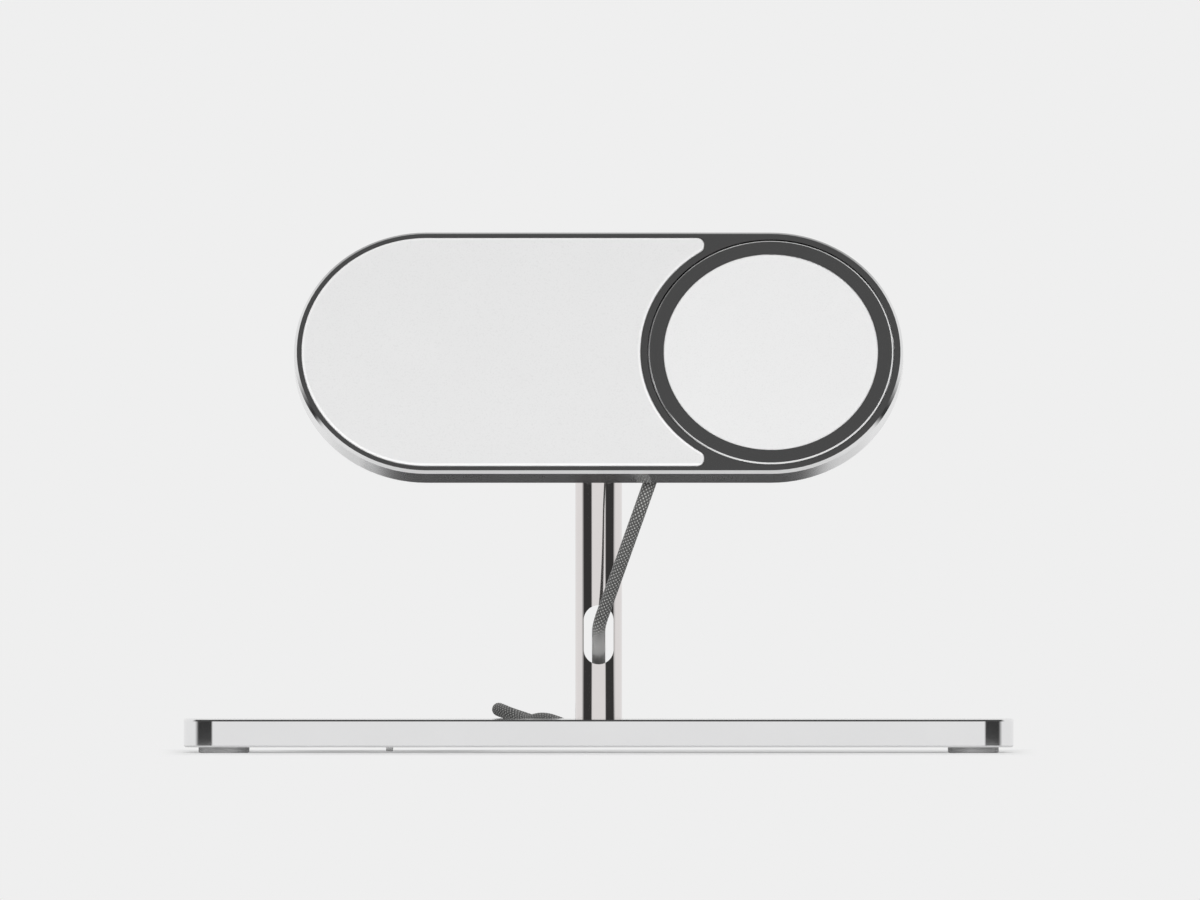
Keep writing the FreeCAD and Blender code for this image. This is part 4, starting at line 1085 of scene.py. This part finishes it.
@dataclass
class Cord:
    """The braided cord: from the head through the post's slot, wound into a coil, and on to the plug.

    The routes and the coil's radii and levels are in millimetres, its bearings in degrees.
    """

    braid: Braid = Braid("grey_braid", grey(0.1, 0.02), 0.85, 0.0, grey(0.58, 0.02))
    diameter: float = 3.1 * MM
    length: float = 1.3
    head_route: Tuple[Point, ...] = (
        (12.06, -21.05, 62.69),
        (9.9, -23.8, 56.66),
        (7.79, -20.68, 50.76),
        (1.93, -12.05, 34.4),
        (0.0, -9.2, 29.0),
        (0.0, -3.4, 26.4),
        (0.0, 8.5, 21.0),
        (0.0, 20.5, 14.2),
        (-0.4, 31.0, 10.2),
        (-0.9, 44.5, 9.9),
        (-2.4, 53.5, 6.9),
        (-5.4, 61.5, 4.6),
        (-8.8, 68.6, 6.4),
        (-12.8, 74.4, 7.6),
        (-16.4, 79.8, 6.5),
        (-20.6, 84.6, 8.7),
        (-23.6, 91.0, 9.8),
        (-20.2, 98.0, 8.4),
        (-13.8, 103.8, 6.3),
        (-13.4, 112.0, 5.3),
        (-19.0, 117.8, 5.25),
        (-29.0, 117.2, 5.25),
        (-42.5, 114.4, 5.25),
    )
    tail_route: Tuple[Point, ...] = (
        (-62.07, 110.52, 2.45),
        (-85.5, 94.1, 3.0),
        (-85.5, 82.03, 3.0),
    )
    coil_radii: Pair = (25.05, 9.3)
    coil_levels: Pair = (5.25, 2.45)
    coil_turns: float = 5.0
    coil_start: float = 78.0
    coil_leave: float = 125.0
    points_per_turn: int = 20
    descent_points: int = 3
    spline_order: int = 3
    spline_resolution: int = 24
    sides: int = 40
    relief: float = 0.05 * MM
    ring_step: float = 0.25 * MM
    coil_step: float = 1.0 * MM
    free_end: float = 0.225
    tail_length: float = 0.045
    bend_from: Point = (11.6 * MM, -21.8 * MM, 61.4 * MM)
    bend_to: Point = (0.4 * MM, -9.8 * MM, 30.2 * MM)
    plug_nodes: Tuple[str, ...] = ("plug_boot", "plug_body", "plug_shell")

    def coil_point(self, degrees: float, radius: float, level: float) -> Point:
        """A point of the coil, in millimetres.

        Args:
            degrees: its bearing from the coil's middle.
            radius: its distance from there.
            level: its height.

        Returns:
            The point.
        """
        angle = math.radians(degrees)
        across, back = COIL_MIDDLE
        return (across + radius * math.cos(angle), back + radius * math.sin(angle), level)

    def coil_points(self) -> List[Point]:
        """The coil's turns as points of the spline, in millimetres.

        Returns:
            Points of the upper layer, wound inwards, and of the lower one, wound outwards.
        """
        outer, inner = self.coil_radii
        upper, lower = self.coil_levels
        step = CIRCLE / self.points_per_turn
        top_sweep = self.coil_turns * CIRCLE
        low_start = self.coil_start + top_sweep + self.descent_points * step
        low_sweep = (self.coil_leave - low_start) % CIRCLE + (self.coil_turns - 1) * CIRCLE
        points = []
        angle = step
        while angle <= top_sweep:
            radius = outer + (inner - outer) * angle / top_sweep
            points.append(self.coil_point(self.coil_start + angle, radius, upper))
            angle += step
        half_way = self.coil_start + top_sweep + self.descent_points / 2 * step
        points.append(self.coil_point(half_way, inner, (upper + lower) / 2))
        angle = 0.0
        while angle <= low_sweep - step:
            radius = inner + (outer - inner) * angle / low_sweep
            points.append(self.coil_point(low_start + angle, radius, lower))
            angle += step
        return points

    def line(self) -> List[Vector]:
        """The cord's centreline.

        Returns:
            Points read from the route's smooth spline, in metres.
        """
        points = [*self.head_route, *self.coil_points(), *self.tail_route]
        data = bpy.data.curves.new("cord_route", "CURVE")
        data.dimensions = "3D"
        spline = data.splines.new("NURBS")
        spline.points.add(len(points) - 1)
        for place, point in zip(spline.points, points):
            place.co = (point[0] * MM, point[1] * MM, point[2] * MM, 1.0)
        spline.order_u = self.spline_order
        spline.use_endpoint_u = True
        spline.resolution_u = self.spline_resolution
        route = bpy.data.objects.new("cord_route", data)
        bpy.context.scene.collection.objects.link(route)
        bpy.context.view_layer.update()
        mesh = bpy.data.meshes.new_from_object(route)
        found = [vertex.co.copy() for vertex in mesh.vertices]
        bpy.data.objects.remove(route)
        bpy.data.curves.remove(data)
        bpy.data.meshes.remove(mesh)
        return found

    def stations(self, line: List[Vector]) -> List[Tuple[Vector, float]]:
        """Ring places along the line, closer together outside the coil.

        Args:
            line: the centreline.

        Returns:
            Each ring's middle and its distance from the start.
        """
        lengths = [0.0]
        for before, after in zip(line, line[1:]):
            lengths.append(lengths[-1] + (after - before).length)
        total = lengths[-1]
        places = []
        distance = 0.0
        index = 0
        while distance < total:
            while lengths[index + 1] < distance:
                index += 1
            share = (distance - lengths[index]) / max(lengths[index + 1] - lengths[index], TINY)
            places.append((line[index].lerp(line[index + 1], share), distance))
            coiled = self.free_end < distance < total - self.tail_length
            distance += self.coil_step if coiled else self.ring_step
        places.append((line[-1], total))
        return places

    def tube(self, places: List[Tuple[Vector, float]]) -> MeshParts:
        """Rings of raised and sunk points, joined into a closed tube.

        Args:
            places: ring middles and their distances.

        Returns:
            The tube's vertices, faces and flat coordinates.
        """
        count = self.sides
        parts = MeshParts([], [], [])
        heading = (places[1][0] - places[0][0]).normalized()
        side = Vector((1, 0, 0))
        side = (side - heading * side.dot(heading)).normalized()
        for row, (middle, distance) in enumerate(places):
            ahead = places[min(row + 1, len(places) - 1)][0] - places[max(row - 1, 0)][0]
            turned = ahead.normalized()
            side = (heading.rotation_difference(turned) @ side).normalized()
            heading = turned
            other = heading.cross(side)
            along = math.cos(TURN * distance / self.braid.pitch)
            for column in range(count):
                angle = TURN * column / count
                weave = math.cos(angle * self.braid.strands) * along
                radius = self.diameter / 2 + self.relief * (weave - 1)
                parts.vertices.append(middle + (side * math.cos(angle) + other * math.sin(angle)) * radius)
        for row in range(len(places) - 1):
            low, high = places[row][1], places[row + 1][1]
            for column in range(count):
                start = row * count + column
                following = row * count + (column + 1) % count
                parts.faces.append((start, following, following + count, start + count))
                left, right = column / count, (column + 1) / count
                parts.corners += [(left, low), (right, low), (right, high), (left, high)]
        last = (len(places) - 1) * count
        parts.faces += [tuple(reversed(range(count))), tuple(range(last, last + count))]
        parts.corners += [(0.5, places[0][1])] * count + [(0.5, places[-1][1])] * count
        return parts

    def build(self, ties: Sequence[str]) -> bpy.types.Object:
        """Make the braided tube in the CAD cord's place and hide the CAD cord's nodes.

        Args:
            ties: names of the ties that hold its coil; not used.

        Returns:
            The cord's object.
        """
        places = self.stations(self.line())
        cord = self.tube(places).build("braided_cord", self.braid)
        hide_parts("cord_upper", "cord_lower", "cord_tail", "cord_coil")
        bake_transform(cord)
        return cord


def main() -> None:
    """Build the studio, the cord and the sub-assemblies."""
    logging.basicConfig(level=logging.INFO, format="%(message)s")
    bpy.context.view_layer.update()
    Studio().build()
    ties = (Tie("tie_band_near", "cord_tie_near", -90.0), Tie("tie_band_far", "cord_tie_far", 90.0))
    for tie in ties:
        tie.build()
    Cord().build([tie.name for tie in ties])
    for assembly in (Base(), Post(), TiltHinge(), HeadShell(), PhoneCharger(), PadCharger(), CordEnds()):
        assembly.build()


if __name__ == "__main__":
    main()
